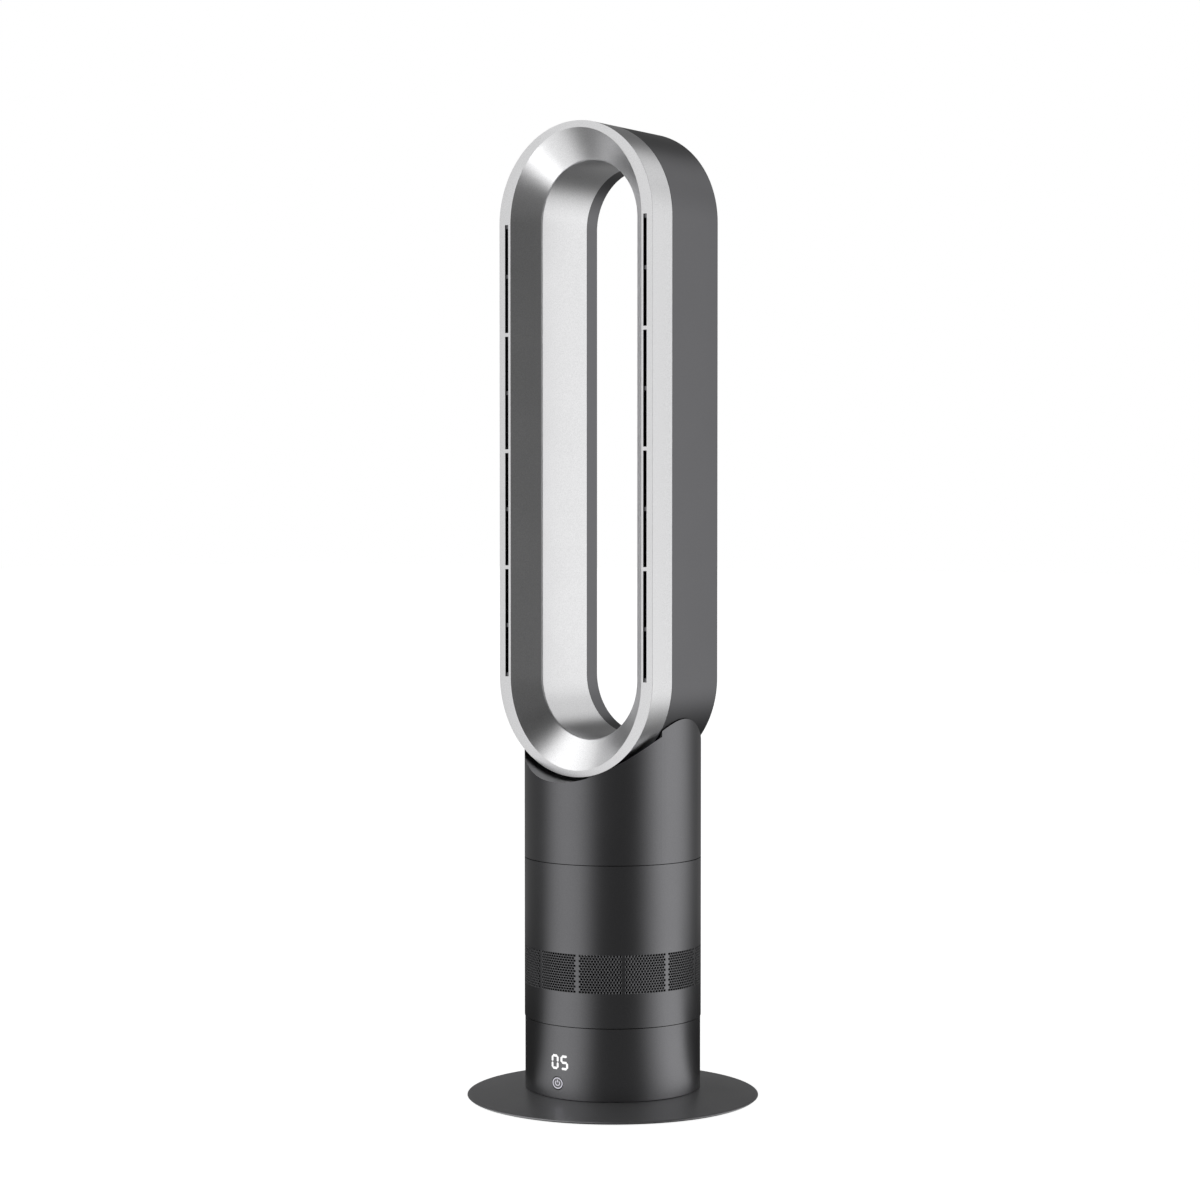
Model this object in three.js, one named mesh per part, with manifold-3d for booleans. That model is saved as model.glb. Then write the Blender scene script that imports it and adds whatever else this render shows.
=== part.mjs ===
// Bladeless tower fan: a loop-shaped air outlet on a round column that turns on a fixed base.
// Millimetres, +Z up. The front faces -Y, and the origin is the centre of the base on the floor.

import * as THREE from 'three';
import { mergeGeometries, mergeVertices } from 'three/addons/utils/BufferGeometryUtils.js';
import Module from 'manifold-3d';

const wasm = await Module();
wasm.setup();

// ---------------------------------------------------------------- driving dimensions

// Gap between pieces that touch or fit into each other
const FIT = 0.3;
// Gap that air-moving and turning pieces run with
const RUNNING = 1.5;
// Visible joint line between the sections of the column
const SEAM = 0.5;

// Base disc
const FOOT_PROUD = 1;
const FOOT_RADIUS = 9;
const FOOT_INSET = 22.4;
const FOOT_POCKET = 1.4;
const FOOT_COUNT = 5;
const DISC_RADIUS = 122.4;
const DISC_RISE = 8.2;
const DISC_EDGE_RISE = 3;
const DISC_EDGE_LENGTH = 8.4;
const DISC_EDGE_BELOW = 1.1;
const DISC_UNDERCUT = 1.2;

// Column
const COLUMN_RADIUS = 74.1;
const BASE_STEP = 0.5;
const CASE_WALL = 2.4;
const BASE_SECTION = 60.2;
const BODY_SECTION = 133.5;
const COLLAR_SECTION = 150.6;

// Loop: two straight sides between two half-round ends
const LOOP_HALF_WIDTH = 81;
const LOOP_STRAIGHT = 378.5;
const LOOP_FRONT = 51.1;
const LOOP_BACK = 41.9;
const LOOP_TAPER = 2.1;
const LOOP_WALL = 2.4;
const LOOP_BACK_CHAMFER = 1.2;
const BAND_DEPTH = 27.2;
const RIM_WIDTH = 11.9;
const RIM_WIDTH_ENDS = 5.5;
const BEVEL_DEPTH = 19.1;
const THROAT_INSET = 30.6;
const EXIT_TAPER = 0.8;
const LIP_DEPTH = 14.4;
const LAP = 6;

// Air slots in the rim
const SLOT_WIDTH = 3;
const SLOT_OFFSET = 7.9;
const SLOT_COUNT = 4;
const SLOT_BRIDGE = 3.1;
const SLOT_RIB = 3.2;
const SLOT_RECESS = 1;
// How far the outermost slot cells would reach past the straight side, where they are cut short
const SLOT_OVERRUN = 5.55;
const GUIDE_DEPTH = 12;
const GUIDE_SETBACK = 5.6;
const GUIDE_END = 3;
const GUIDE_SIDE = 3.9;

// Collar that the loop stands in
const SADDLE_GAP = 1;
const REVEAL_GAP = 2.8;
const SADDLE_DECK = 3;
const SPIGOT_DEPTH = 7;
const SPIGOT_WALL = 2.2;
const NECK_HALF_WIDTH = 48;
const NECK_FRONT = 17;
const NECK_BACK = 33;
const NECK_DROP = 103;
const NECK_WALL = 2.5;
const NECK_BOSS_RADIUS = 4;
const NECK_CORNER = 5;
const SEAL_THICKNESS = 2.4;
const PLATE_THICKNESS = 3;
const COLLAR_BOSS_INSET = 11.7;
const COLLAR_BOSS_COUNT = 3;

// Perforated inlet band
const INLET_BOTTOM = 28.3;
const INLET_HEIGHT = 31.8;
const INLET_PANELS = 12;
const INLET_COLUMNS = 4;
const INLET_COLUMN_ANGLE = 6;
const INLET_BAR = 4;

// Control panel in the base section
const DISPLAY_X = 2.2;
const DISPLAY_HEIGHT = 29.8;
const DISPLAY_HALF_WIDTH = 12.5;
const DISPLAY_HALF_HEIGHT = 8.6;
const DISPLAY_SKIN = 0.9;
const KEY_HEIGHT = 12.7;
const KEY_RADIUS = 5.5;
const KEY_TRAVEL = 0.5;
const KEY_FLANGE = 1.4;
const KEY_FLANGE_THICKNESS = 1.2;
const KEY_STEM_RADIUS = 1.6;
const PANEL_BOARD_HALF_WIDTH = 17;
const PANEL_BOARD_DEPTH = 13.6;
const BOARD_THICKNESS = 1.6;
const SWITCH_SIZE = 6;
const SWITCH_DEPTH = 4.2;
const SWITCH_NUB = 1.6;

// Power socket at the back
const SOCKET_HALF_WIDTH = 7;
const SOCKET_LENGTH = 13;
const SOCKET_BORE = 3.3;
const SOCKET_BORE_DEPTH = 10;
const SOCKET_PIN_RADIUS = 1;
const SOCKET_PIN_SETBACK = 3.2;
const SOCKET_HOLE = 4.6;
const SOCKET_HEIGHT = 14.4;

// Inside the base section
const FLANGE_THICKNESS = 2;
const FLANGE_WIDTH = 9;
const FLOOR_THICKNESS = 3;
const FLOOR_SCREW_INSET = 3.8;
const FLOOR_SCREW_COUNT = 4;
const FLOOR_SCREW_BITE = 5;
const BALLAST_INNER = 30;
const BALLAST_MARGIN = 17.2;
const BALLAST_THICKNESS = 10;
const BOARD_HALF_WIDTH = 38;
const BOARD_HALF_DEPTH = 27;
const CHIP_SIZE = 12;
const CHIP_HEIGHT = 2;
const CAPACITOR_RADIUS = 5;
const CAPACITOR_HEIGHT = 9;
const PLUG_WIDTH = 14;
const PLUG_DEPTH = 7;
const PLUG_HEIGHT = 6;
const STANDOFF_X = 18;
const STANDOFF_Y = 16;
const STANDOFF_RADIUS = 3;
const STANDOFF_HEIGHT = 12;
const DECK_DROP = 12.4;
const DECK_THICKNESS = 3;
const DECK_LEDGE = 8;
const DECK_SCREW_COUNT = 3;
const POST_RADIUS = 13.5;
const POST_BORE = 9;
const POST_COLLAR = 2;
const POST_GROOVE = 0.9;
const RETAINER_THICKNESS = 1.5;
const RETAINER_WIDTH = 5;

// Turning drive
const GEAR_MODULE = 1.5;
const RING_TEETH = 48;
const PINION_TEETH = 8;
const GEAR_ADDENDUM = 1.2;
const GEAR_DEDENDUM = 1.8;
const GEAR_RIM = 3.5;
const PINION_TIP = 0.2;
const PINION_ROOT = 0.62;
const RING_TIP = 0.2;
const RING_ROOT = 0.55;
const PINION_FACE = 5;
const DRIVE_RADIUS = 14;
const DRIVE_HEIGHT = 19;
const DRIVE_TAIL_WIDTH = 12;
const DRIVE_TAIL_REACH = 4;
const DRIVE_TAIL_INSET = 3;
const DRIVE_SHAFT_RADIUS = 2.2;
const SLIDE_INSET = 10.7;
const SLIDE_WIDTH = 8;
const SLIDE_THICKNESS = 2;
const SLIDE_MARGIN = 1;
const TURNTABLE_THICKNESS = 3;
const HUB_WALL = 3.5;
const HUB_RISE = 3;
const BODY_SCREW_COUNT = 3;
const BODY_SCREW_INSET = 5.1;
const BODY_BOSS_RADIUS = 5.4;
const BODY_BOSS_HEIGHT = 11;

// Foam block in the inlet chamber
const FOAM_RADIUS = 50;
const FOAM_HEIGHT = 38;

// Air mover inside the body
const LEDGE_HEIGHT = 66.5;
const LEDGE_THICKNESS = 3;
const LEDGE_WIDTH = 6.7;
const LEDGE_TAPER = 3.4;
const ISOLATOR_THICKNESS = 4;
const DIFFUSER_INSET = 9.7;
const DIFFUSER_WALL = 2;
const DIFFUSER_HEIGHT = 61;
const VANE_COUNT = 9;
const VANE_HEIGHT = 22;
const VANE_THICKNESS = 1.6;
const VANE_LEAN = 18;
const CORE_RADIUS = 40;
const CORE_WALL = 1.8;
const INTAKE_EYE = 41;
const INTAKE_MOUTH_INSET = 3;
const INTAKE_DROP = 12;
const INTAKE_WALL = 2;
const IMPELLER_HEIGHT = 24;
const IMPELLER_TIP_GAP = 2;
const IMPELLER_HUB_LOW = 12;
const IMPELLER_HUB_HIGH = 37;
const IMPELLER_NOSE_SPREAD = 4;
const IMPELLER_NOSE_RISE = 8;
const BLADE_COUNT = 9;
const BLADE_THICKNESS = 1.6;
const BLADE_PITCH = 38;

// Motor
const CAN_HEIGHT = 32;
const CAN_FLANGE = 3.5;
const SHAFT_RADIUS = 2.5;
const BEARING_RADIUS = 8;
const BEARING_HEIGHT = 4.5;
const MOTOR_TUBE_WALL = 2.2;
const MOTOR_TUBE_HEIGHT = 26;
const STATOR_RADIUS = 21.5;
const STATOR_HEIGHT = 10;
const STATOR_TEETH = 9;
const STATOR_POLE = 2;
const COIL_OVERHANG = 2;
const COIL_HALF_WIDTH = 2.8;
const MAGNET_THICKNESS = 2;
const BELL_WALL = 1.7;
const BELL_HEIGHT = 17;
const COVER_RISE = 9;

// Motor lead
const LEAD_RADIUS = 1.8;
const LEAD_SLOT = 3;
const LEAD_BEND = 12;
const LEAD_CLEARANCE = 2.5;
const LEAD_STEPS = 28;
const LEAD_SIDES = 8;

// Screws
const SCREW_RADIUS = 1.6;
const SCREW_HEAD_RADIUS = 3.1;
const SCREW_HEAD_HEIGHT = 2.2;
const SCREW_BITE = 9;
// Where the first screw of a set of three stands, in degrees round from +X
const SCREW_TURN = 30;

// Facets
const ROUND = 60;
const INNER_ROUND = 24;
const SMALL_ROUND = 8;
const LOOP_ARC = 20;
const CORNER_ARC = 4;
const EDGE_TURNS = 3;

// ---------------------------------------------------------------- places worked out from them

const discUnderside = FOOT_PROUD;
const seatTop = FOOT_PROUD + DISC_RISE;
const lowerSeam = seatTop + BASE_SECTION;
const upperSeam = lowerSeam + BODY_SECTION;
const lowArc = upperSeam + COLLAR_SECTION;
const highArc = lowArc + LOOP_STRAIGHT;
const loopMiddle = (lowArc + highArc) / 2;
const slotPitch = (LOOP_STRAIGHT + 2 * SLOT_OVERRUN) / SLOT_COUNT;

const baseRadius = COLUMN_RADIUS - BASE_STEP;
const baseInner = baseRadius - CASE_WALL;
const columnInner = COLUMN_RADIUS - CASE_WALL;
const footCircle = DISC_RADIUS - FOOT_INSET;
const ballastOuter = baseInner - BALLAST_MARGIN;
const slideOuter = columnInner - SLIDE_INSET;
const slideInner = slideOuter - SLIDE_WIDTH;
const bodyScrewCircle = columnInner - BODY_SCREW_INSET;
const ledgeInner = columnInner - LEDGE_WIDTH;
const collarBossCircle = columnInner - COLLAR_BOSS_INSET;
const bodyBottom = lowerSeam + SEAM / 2;
const bodyTop = upperSeam - SEAM / 2;
const collarBottom = upperSeam + SEAM / 2;

const floorBottom = seatTop + FLANGE_THICKNESS + FIT;
const floorTop = floorBottom + FLOOR_THICKNESS;
const screwCircle = baseInner - FLOOR_SCREW_INSET;
const deckTop = lowerSeam - DECK_DROP + DECK_THICKNESS;
const deckBottom = deckTop - DECK_THICKNESS;
const turntableBottom = bodyBottom + FIT;
const turntableTop = turntableBottom + TURNTABLE_THICKNESS;
const hubTop = turntableTop + HUB_RISE;
const slideTop = deckTop + FIT + SLIDE_THICKNESS;
const leadTurn = hubTop + LEAD_BEND;
const grooveBottom = hubTop + FIT;
const grooveTop = grooveBottom + RETAINER_THICKNESS + FIT;
const postTop = grooveTop + POST_COLLAR;

const ringPitch = GEAR_MODULE * RING_TEETH / 2;
const pinionPitch = GEAR_MODULE * PINION_TEETH / 2;
const driveY = ringPitch - pinionPitch;

const ledgeTop = bodyBottom + LEDGE_HEIGHT + LEDGE_THICKNESS;
const diffuserBottom = ledgeTop + ISOLATOR_THICKNESS + 2 * FIT;
const diffuserTop = diffuserBottom + DIFFUSER_HEIGHT;
const diffuserRadius = columnInner - DIFFUSER_INSET;
const diffuserBore = diffuserRadius - DIFFUSER_WALL;
const intakeMouth = diffuserBore - INTAKE_MOUTH_INSET;
const impellerBottom = diffuserBottom + LEDGE_THICKNESS + RUNNING;
const canBottom = impellerBottom + IMPELLER_HEIGHT + RUNNING;
const canTop = canBottom + CAN_HEIGHT;
const coreBore = CORE_RADIUS + FIT;
const motorTube = BEARING_RADIUS + FIT + MOTOR_TUBE_WALL;
const motorTubeTop = canBottom + MOTOR_TUBE_HEIGHT;
const bellBore = STATOR_RADIUS + 2 * FIT + MAGNET_THICKNESS + FIT;
const bellRadius = bellBore + BELL_WALL;
const bellTop = motorTubeTop + RUNNING + BELL_WALL;

const frontY = -LOOP_FRONT;
const backY = LOOP_BACK;
const bandBack = frontY + BAND_DEPTH;
const lipFront = backY - LIP_DEPTH;
const throatY = frontY + BEVEL_DEPTH;
const throatHalf = LOOP_HALF_WIDTH - THROAT_INSET;
const exitHalf = throatHalf - EXIT_TAPER;
const neckBottom = lowArc - NECK_DROP;
const plateTop = neckBottom - SEAL_THICKNESS - 2 * FIT;
const plateBottom = plateTop - PLATE_THICKNESS;

// ---------------------------------------------------------------- finishes

const FINISH = {
  satinDark: { color: 0x3a3a3b, roughness: 0.45, metalness: 0.25 },
  shellDark: { color: 0x6a6a6a, roughness: 0.4, metalness: 0.3 },
  silver: { color: 0xd2d2d2, roughness: 0.35, metalness: 0.6 },
  innerBlack: { color: 0x1c1c1d, roughness: 0.6, metalness: 0 },
  nylon: { color: 0xe4e2da, roughness: 0.6, metalness: 0 },
  steel: { color: 0x9a9b9d, roughness: 0.35, metalness: 0.9 },
  iron: { color: 0x55565a, roughness: 0.6, metalness: 0.8 },
  rubber: { color: 0x18181a, roughness: 0.9, metalness: 0 },
  board: { color: 0x1f5a3c, roughness: 0.6, metalness: 0 },
  display: { color: 0x2a2a2e, roughness: 0.3, metalness: 0 },
  copper: { color: 0xa9663a, roughness: 0.4, metalness: 0.8 },
};

// ---------------------------------------------------------------- solids

// A closed three.js geometry as a solid that can be joined and cut
function solidOf(geometry) {
  const bare = geometry.index ? geometry.toNonIndexed() : geometry.clone();
  bare.deleteAttribute('normal');
  bare.deleteAttribute('uv');
  const merged = mergeVertices(bare, 1e-5);
  return new wasm.Manifold(new wasm.Mesh({
    numProp: 3,
    vertProperties: new Float32Array(merged.attributes.position.array),
    triVerts: new Uint32Array(merged.index.array),
  }));
}

function geometryOf(solid) {
  const { vertProperties, triVerts } = solid.getMesh();
  const geometry = new THREE.BufferGeometry();
  geometry.setAttribute('position', new THREE.BufferAttribute(vertProperties, 3));
  geometry.setIndex(new THREE.BufferAttribute(triVerts, 1));
  geometry.computeVertexNormals();
  return geometry;
}

const joined = (...solids) => solids.reduce((whole, next) => whole.add(next));
const cut = (whole, ...tools) => tools.reduce((left, tool) => left.subtract(tool), whole);

// A profile of [radius, height] points turned about Z. It starts and ends on the axis.
function turned(profile, segments = ROUND) {
  const points = profile.map(([radius, height]) => new THREE.Vector2(radius, height));
  return solidOf(new THREE.LatheGeometry(points, segments).rotateX(Math.PI / 2));
}

// A ring of a closed profile about Z
function ring(profile, segments = ROUND) {
  return turned([...profile, profile[0]], segments);
}

function sleeve(inner, outer, bottom, top, segments = ROUND) {
  return ring([[inner, bottom], [outer, bottom], [outer, top], [inner, top]], segments);
}

// A wide upright cylinder with the facets of the column's shells
function cylinder(radius, bottom, top, segments = ROUND) {
  return turned([[0, bottom], [radius, bottom], [radius, top], [0, top]], segments);
}

function rodShape(radius, bottom, top, x = 0, y = 0, segments = SMALL_ROUND) {
  const height = top - bottom;
  return new THREE.CylinderGeometry(radius, radius, height, segments)
    .rotateX(Math.PI / 2)
    .translate(x, y, bottom + height / 2);
}

const rod = (...sizes) => solidOf(rodShape(...sizes));

// A round bar along Y
function barY(radius, from, to, x, z, segments = SMALL_ROUND) {
  const bar = new THREE.CylinderGeometry(radius, radius, to - from, segments);
  return solidOf(bar.translate(x, (from + to) / 2, z));
}

function blockShape(x0, x1, y0, y1, z0, z1) {
  return new THREE.BoxGeometry(x1 - x0, y1 - y0, z1 - z0)
    .translate((x0 + x1) / 2, (y0 + y1) / 2, (z0 + z1) / 2);
}

const block = (...sides) => solidOf(blockShape(...sides));

// A flat outline in X and Y, raised from bottom to top
function raised(shape, bottom, top) {
  const settings = { depth: top - bottom, bevelEnabled: false, curveSegments: CORNER_ARC / 2 };
  return solidOf(new THREE.ExtrudeGeometry(shape, settings).translate(0, 0, bottom));
}

function roundedRectangle(x0, x1, y0, y1, radius) {
  const shape = new THREE.Shape();
  shape.absarc(x1 - radius, y1 - radius, radius, 0, Math.PI / 2);
  shape.absarc(x0 + radius, y1 - radius, radius, Math.PI / 2, Math.PI);
  shape.absarc(x0 + radius, y0 + radius, radius, Math.PI, Math.PI * 1.5);
  shape.absarc(x1 - radius, y0 + radius, radius, Math.PI * 1.5, Math.PI * 2);
  return shape;
}

// Angles of count places around Z, the first one start degrees round from +X
function around(count, start = 0) {
  return Array.from({ length: count }, (_, k) => (start + 360 * k / count) * Math.PI / 180);
}

const onCircle = (radius, angle) => [radius * Math.cos(angle), radius * Math.sin(angle)];

// ---------------------------------------------------------------- the loop's own forms

// Half width of the loop's outer skin at a depth. It narrows a little towards the back.
function skinHalf(y) {
  const inside = THREE.MathUtils.clamp(y, frontY, backY);
  return LOOP_HALF_WIDTH - LOOP_TAPER * (inside - frontY) / (backY - frontY);
}

// Half width of the loop's open middle at a depth behind the bevel
function openHalf(y) {
  return THREE.MathUtils.mapLinear(y, throatY, backY, throatHalf, exitHalf);
}

// A plug shaped like the loop's outline, through stations of [y, half width, height of its ends]
function loopPlug(stations) {
  const rows = [...stations].sort((a, b) => b[0] - a[0]);
  const steps = rows.length - 1;
  const outline = new THREE.Shape();
  outline.absarc(0, LOOP_STRAIGHT / 2, 1, 0, Math.PI);
  outline.absarc(0, -LOOP_STRAIGHT / 2, 1, Math.PI, Math.PI * 2);
  const plug = new THREE.ExtrudeGeometry(outline, {
    depth: steps, steps, bevelEnabled: false, curveSegments: LOOP_ARC / 2,
  });
  const place = plug.attributes.position;
  for (let i = 0; i < place.count; i += 1) {
    const [y, half, end = half] = rows[Math.round(place.getZ(i))];
    const beyond = Math.max(Math.abs(place.getY(i)) - LOOP_STRAIGHT / 2, 0);
    const height = Math.sign(place.getY(i)) * (LOOP_STRAIGHT / 2 + beyond * end);
    place.setXYZ(i, place.getX(i) * half, y, loopMiddle + height);
  }
  return solidOf(plug);
}

const straightPlug = (y0, y1, half) => loopPlug([[y0, half], [y1, half]]);

// The loop's outer skin from one depth to another, moved in or out by an offset
function skinPlug(y0, y1, offset = 0) {
  return loopPlug([[y0, skinHalf(y0) + offset], [y1, skinHalf(y1) + offset]]);
}

// Middle heights of the slot cells of one side. A rib bridges each slot there.
const slotMiddles = Array.from({ length: SLOT_COUNT }, (_, k) => (
  loopMiddle + (k - (SLOT_COUNT - 1) / 2) * slotPitch
));

// Lower and upper end of a slot, kept a margin inside the loop's straight side
function slotEnds(middle, margin) {
  const reach = (slotPitch - SLOT_BRIDGE) / 2;
  return [Math.max(middle - reach, lowArc + margin), Math.min(middle + reach, highArc - margin)];
}

// A shallow groove with rounded ends, and the deep slots in it on both sides of each rib
function slotCuts(side) {
  const middle = side * (LOOP_HALF_WIDTH - SLOT_OFFSET);
  const half = SLOT_WIDTH / 2;
  const groove = [frontY - 1, frontY + SLOT_RECESS];
  const cuts = [barY(half, ...groove, middle, lowArc + half), barY(half, ...groove, middle, highArc - half)];
  for (const rib of slotMiddles) {
    const [bottom, top] = slotEnds(rib, SLOT_RIB);
    cuts.push(block(middle - half, middle + half, ...groove, ...slotEnds(rib, half)));
    for (const span of [[bottom, rib - SLOT_RIB / 2], [rib + SLOT_RIB / 2, top]]) {
      cuts.push(block(middle - half, middle + half, frontY - 1, frontY + GUIDE_SETBACK, ...span));
    }
  }
  return cuts;
}

// Silver front: the flat rim with its slots, the side band, the bevel and the inner wall
function frontBezel() {
  const wall = LOOP_WALL;
  const rim = LOOP_HALF_WIDTH - RIM_WIDTH;
  const rimEnds = LOOP_HALF_WIDTH - RIM_WIDTH_ENDS;
  const bevelWall = wall * Math.SQRT2;
  const inset = wall / 2;
  const band = cut(skinPlug(frontY, bandBack), skinPlug(frontY + wall, bandBack + 1, -wall));
  const core = loopPlug([
    [frontY + inset, rim + bevelWall - inset, rimEnds + bevelWall - inset],
    [throatY, throatHalf + bevelWall],
    [throatY + bevelWall, openHalf(throatY) + wall],
    [lipFront - FIT, openHalf(lipFront) + wall],
  ]);
  const opening = loopPlug([
    [frontY - 1, rim + 1, rimEnds + 1],
    [frontY, rim, rimEnds],
    [throatY, throatHalf],
    [backY, exitHalf],
  ]);
  return cut(joined(band, core), opening, ...slotCuts(1), ...slotCuts(-1));
}

// Dark rear of the loop: the outer skin, the back wall, the lip round the exit and the neck
function rearShell() {
  const wall = LOOP_WALL;
  const tongue = LOOP_TAPER + 1;
  const front = bandBack + FIT;
  const skin = loopPlug([
    [front, skinHalf(front)],
    [backY - LOOP_BACK_CHAMFER, skinHalf(backY)],
    [backY, skinHalf(backY) - LOOP_BACK_CHAMFER],
  ]);
  const lap = straightPlug(front - LAP, front + wall, skinHalf(bandBack) - wall - FIT);
  const neckTop = lowArc - Math.sqrt((skinHalf(backY) - wall) ** 2 - NECK_HALF_WIDTH ** 2);
  const neck = raised(
    roundedRectangle(-NECK_HALF_WIDTH, NECK_HALF_WIDTH, -NECK_FRONT, NECK_BACK, NECK_CORNER),
    neckBottom, neckTop,
  );
  const cavity = loopPlug([
    [front - LAP - 1, skinHalf(bandBack) - wall - tongue],
    [front + wall, skinHalf(bandBack) - wall - tongue],
    [front + wall + tongue, skinHalf(front) - wall],
    [backY - wall, skinHalf(backY) - wall],
  ]);
  const inside = NECK_WALL;
  const bore = raised(
    roundedRectangle(
      -NECK_HALF_WIDTH + inside, NECK_HALF_WIDTH - inside,
      -NECK_FRONT + inside, NECK_BACK - inside, NECK_CORNER - inside,
    ),
    neckBottom - 1, neckTop + wall,
  );
  const lip = straightPlug(lipFront - LAP, backY - wall / 2, openHalf(lipFront) + 2 * wall);
  const socket = straightPlug(lipFront - LAP - 1, lipFront, openHalf(lipFront) + wall + FIT);
  const exit = loopPlug([[lipFront - LAP - 1, openHalf(lipFront)], [backY + 1, exitHalf]]);
  const bosses = neckBossPlaces().map(([x, y]) => rod(NECK_BOSS_RADIUS, neckBottom, neckTop, x, y));
  const pilots = neckBossPlaces().map(([x, y]) => (
    rod(SCREW_RADIUS + FIT, neckBottom - 1, plateTop + SCREW_BITE + FIT, x, y)
  ));
  const hollow = cut(joined(skin, lap, neck), cavity, bore);
  return cut(joined(hollow, lip, ...bosses), socket, exit, ...pilots);
}

function neckBossPlaces() {
  const x = NECK_HALF_WIDTH - NECK_BOSS_RADIUS;
  return [[x, NECK_BACK - NECK_BOSS_RADIUS], [-x, NECK_BACK - NECK_BOSS_RADIUS],
    [-x, NECK_BOSS_RADIUS - NECK_FRONT], [x, NECK_BOSS_RADIUS - NECK_FRONT]];
}

// Guide behind each row of slots: a straight strip with a passage behind every slot
function airGuide(side) {
  const middle = side * (LOOP_HALF_WIDTH - SLOT_OFFSET);
  const front = frontY + GUIDE_SETBACK;
  const outer = side * (skinHalf(front + GUIDE_DEPTH) - LOOP_WALL - 2 * FIT);
  const inner = middle - side * GUIDE_SIDE;
  const low = lowArc - GUIDE_END;
  const high = highArc + GUIDE_END;
  const [x0, x1] = [Math.min(inner, outer), Math.max(inner, outer)];
  const strip = block(x0, x1, front + FIT, front + GUIDE_DEPTH, low, high);
  const half = SLOT_WIDTH / 2;
  const passages = slotMiddles.map((rib) => (
    block(middle - half, middle + half, front - 1, front + GUIDE_DEPTH + 1, ...slotEnds(rib, SLOT_RIB))
  ));
  return cut(strip, ...passages);
}

// ---------------------------------------------------------------- screws

function screwUp(x, y, seat, length) {
  const head = rod(SCREW_HEAD_RADIUS, seat - SCREW_HEAD_HEIGHT, seat, x, y);
  return joined(head, rod(SCREW_RADIUS, seat - 1, seat + length, x, y));
}

function screwDown(x, y, seat, length) {
  const head = rod(SCREW_HEAD_RADIUS, seat, seat + SCREW_HEAD_HEIGHT, x, y);
  return joined(head, rod(SCREW_RADIUS, seat - length, seat + 1, x, y));
}

// ---------------------------------------------------------------- base

const footPlaces = around(FOOT_COUNT, 90).map((angle) => onCircle(footCircle, angle));
const floorScrewPlaces = around(FLOOR_SCREW_COUNT, 45).map((angle) => onCircle(screwCircle, angle));
const deckScrewPlaces = around(DECK_SCREW_COUNT, SCREW_TURN).map((angle) => onCircle(screwCircle, angle));
const headSeat = discUnderside + SCREW_HEAD_HEIGHT + 2 * FIT;

// Shallow cone with a rounded edge, pockets for the feet and holes for the floor screws
function baseDisc() {
  const seat = baseRadius + FIT;
  const edgeStart = DISC_RADIUS - DISC_EDGE_LENGTH;
  const edgeTop = discUnderside + DISC_EDGE_RISE;
  const widest = discUnderside + DISC_EDGE_BELOW;
  const profile = [[0, discUnderside], [DISC_RADIUS - DISC_UNDERCUT, discUnderside]];
  for (let k = 0; k <= EDGE_TURNS; k += 1) {
    const angle = k * Math.PI / 2 / EDGE_TURNS;
    const height = widest + (edgeTop - widest) * Math.sin(angle);
    profile.push([edgeStart + DISC_EDGE_LENGTH * Math.cos(angle), height]);
  }
  profile.push([seat, seatTop - FIT], [0, seatTop - FIT]);
  const pockets = footPlaces.map(([x, y]) => (
    rod(FOOT_RADIUS + FIT, 0, discUnderside + FOOT_POCKET + FIT, x, y)
  ));
  const holes = floorScrewPlaces.map(([x, y]) => rod(SCREW_RADIUS + FIT, 0, seatTop + 1, x, y));
  const counterbores = floorScrewPlaces.map(([x, y]) => (
    rod(SCREW_HEAD_RADIUS + FIT, 0, headSeat, x, y)
  ));
  return cut(turned(profile), ...pockets, ...holes, ...counterbores);
}

const foot = ([x, y]) => rod(FOOT_RADIUS, 0, discUnderside + FOOT_POCKET, x, y);

const keyZ = seatTop + KEY_HEIGHT;
const displayZ = seatTop + DISPLAY_HEIGHT;
const socketZ = floorTop + FIT + SOCKET_HEIGHT / 2;
const displayFront = -Math.sqrt(baseInner ** 2 - (DISPLAY_X + DISPLAY_HALF_WIDTH) ** 2) + FIT;
const panelBoardFront = -baseInner + PANEL_BOARD_DEPTH - BOARD_THICKNESS;

// Outer shell of the base section, with a thin window, the key's hole and the socket's hole
function baseHousing() {
  const top = lowerSeam - SEAM / 2;
  const ledgeTopZ = deckBottom - FIT;
  const ledgeEdge = screwCircle - DECK_LEDGE / 2;
  const skirt = ring([
    [baseInner - FLANGE_WIDTH, seatTop], [baseRadius, seatTop], [baseRadius, top],
    [baseInner, top], [baseInner, ledgeTopZ], [ledgeEdge, ledgeTopZ],
    [ledgeEdge, ledgeTopZ - DECK_THICKNESS], [baseInner, ledgeTopZ - DECK_LEDGE],
    [baseInner, floorBottom - FIT], [baseInner - FLANGE_WIDTH, floorBottom - FIT],
  ]);
  const holes = floorScrewPlaces.map(([x, y]) => rod(SCREW_RADIUS + FIT, 0, floorBottom, x, y));
  const pilots = deckScrewPlaces.map(([x, y]) => (
    rod(SCREW_RADIUS + FIT, deckTop - SCREW_BITE - FIT, deckTop, x, y)
  ));
  const keyHole = barY(KEY_RADIUS + FIT, -baseRadius - 1, -baseInner + 1, 0, keyZ, INNER_ROUND);
  const socketHole = barY(SOCKET_HOLE, baseInner - 1, baseRadius + 1, 0, socketZ);
  const window = cut(
    block(
      DISPLAY_X - DISPLAY_HALF_WIDTH, DISPLAY_X + DISPLAY_HALF_WIDTH,
      -baseRadius, -baseInner / 2, displayZ - DISPLAY_HALF_HEIGHT, displayZ + DISPLAY_HALF_HEIGHT,
    ),
    sleeve(baseRadius - DISPLAY_SKIN, baseRadius + 1, seatTop, top),
  );
  return cut(skirt, ...holes, ...pilots, keyHole, socketHole, window);
}

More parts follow.
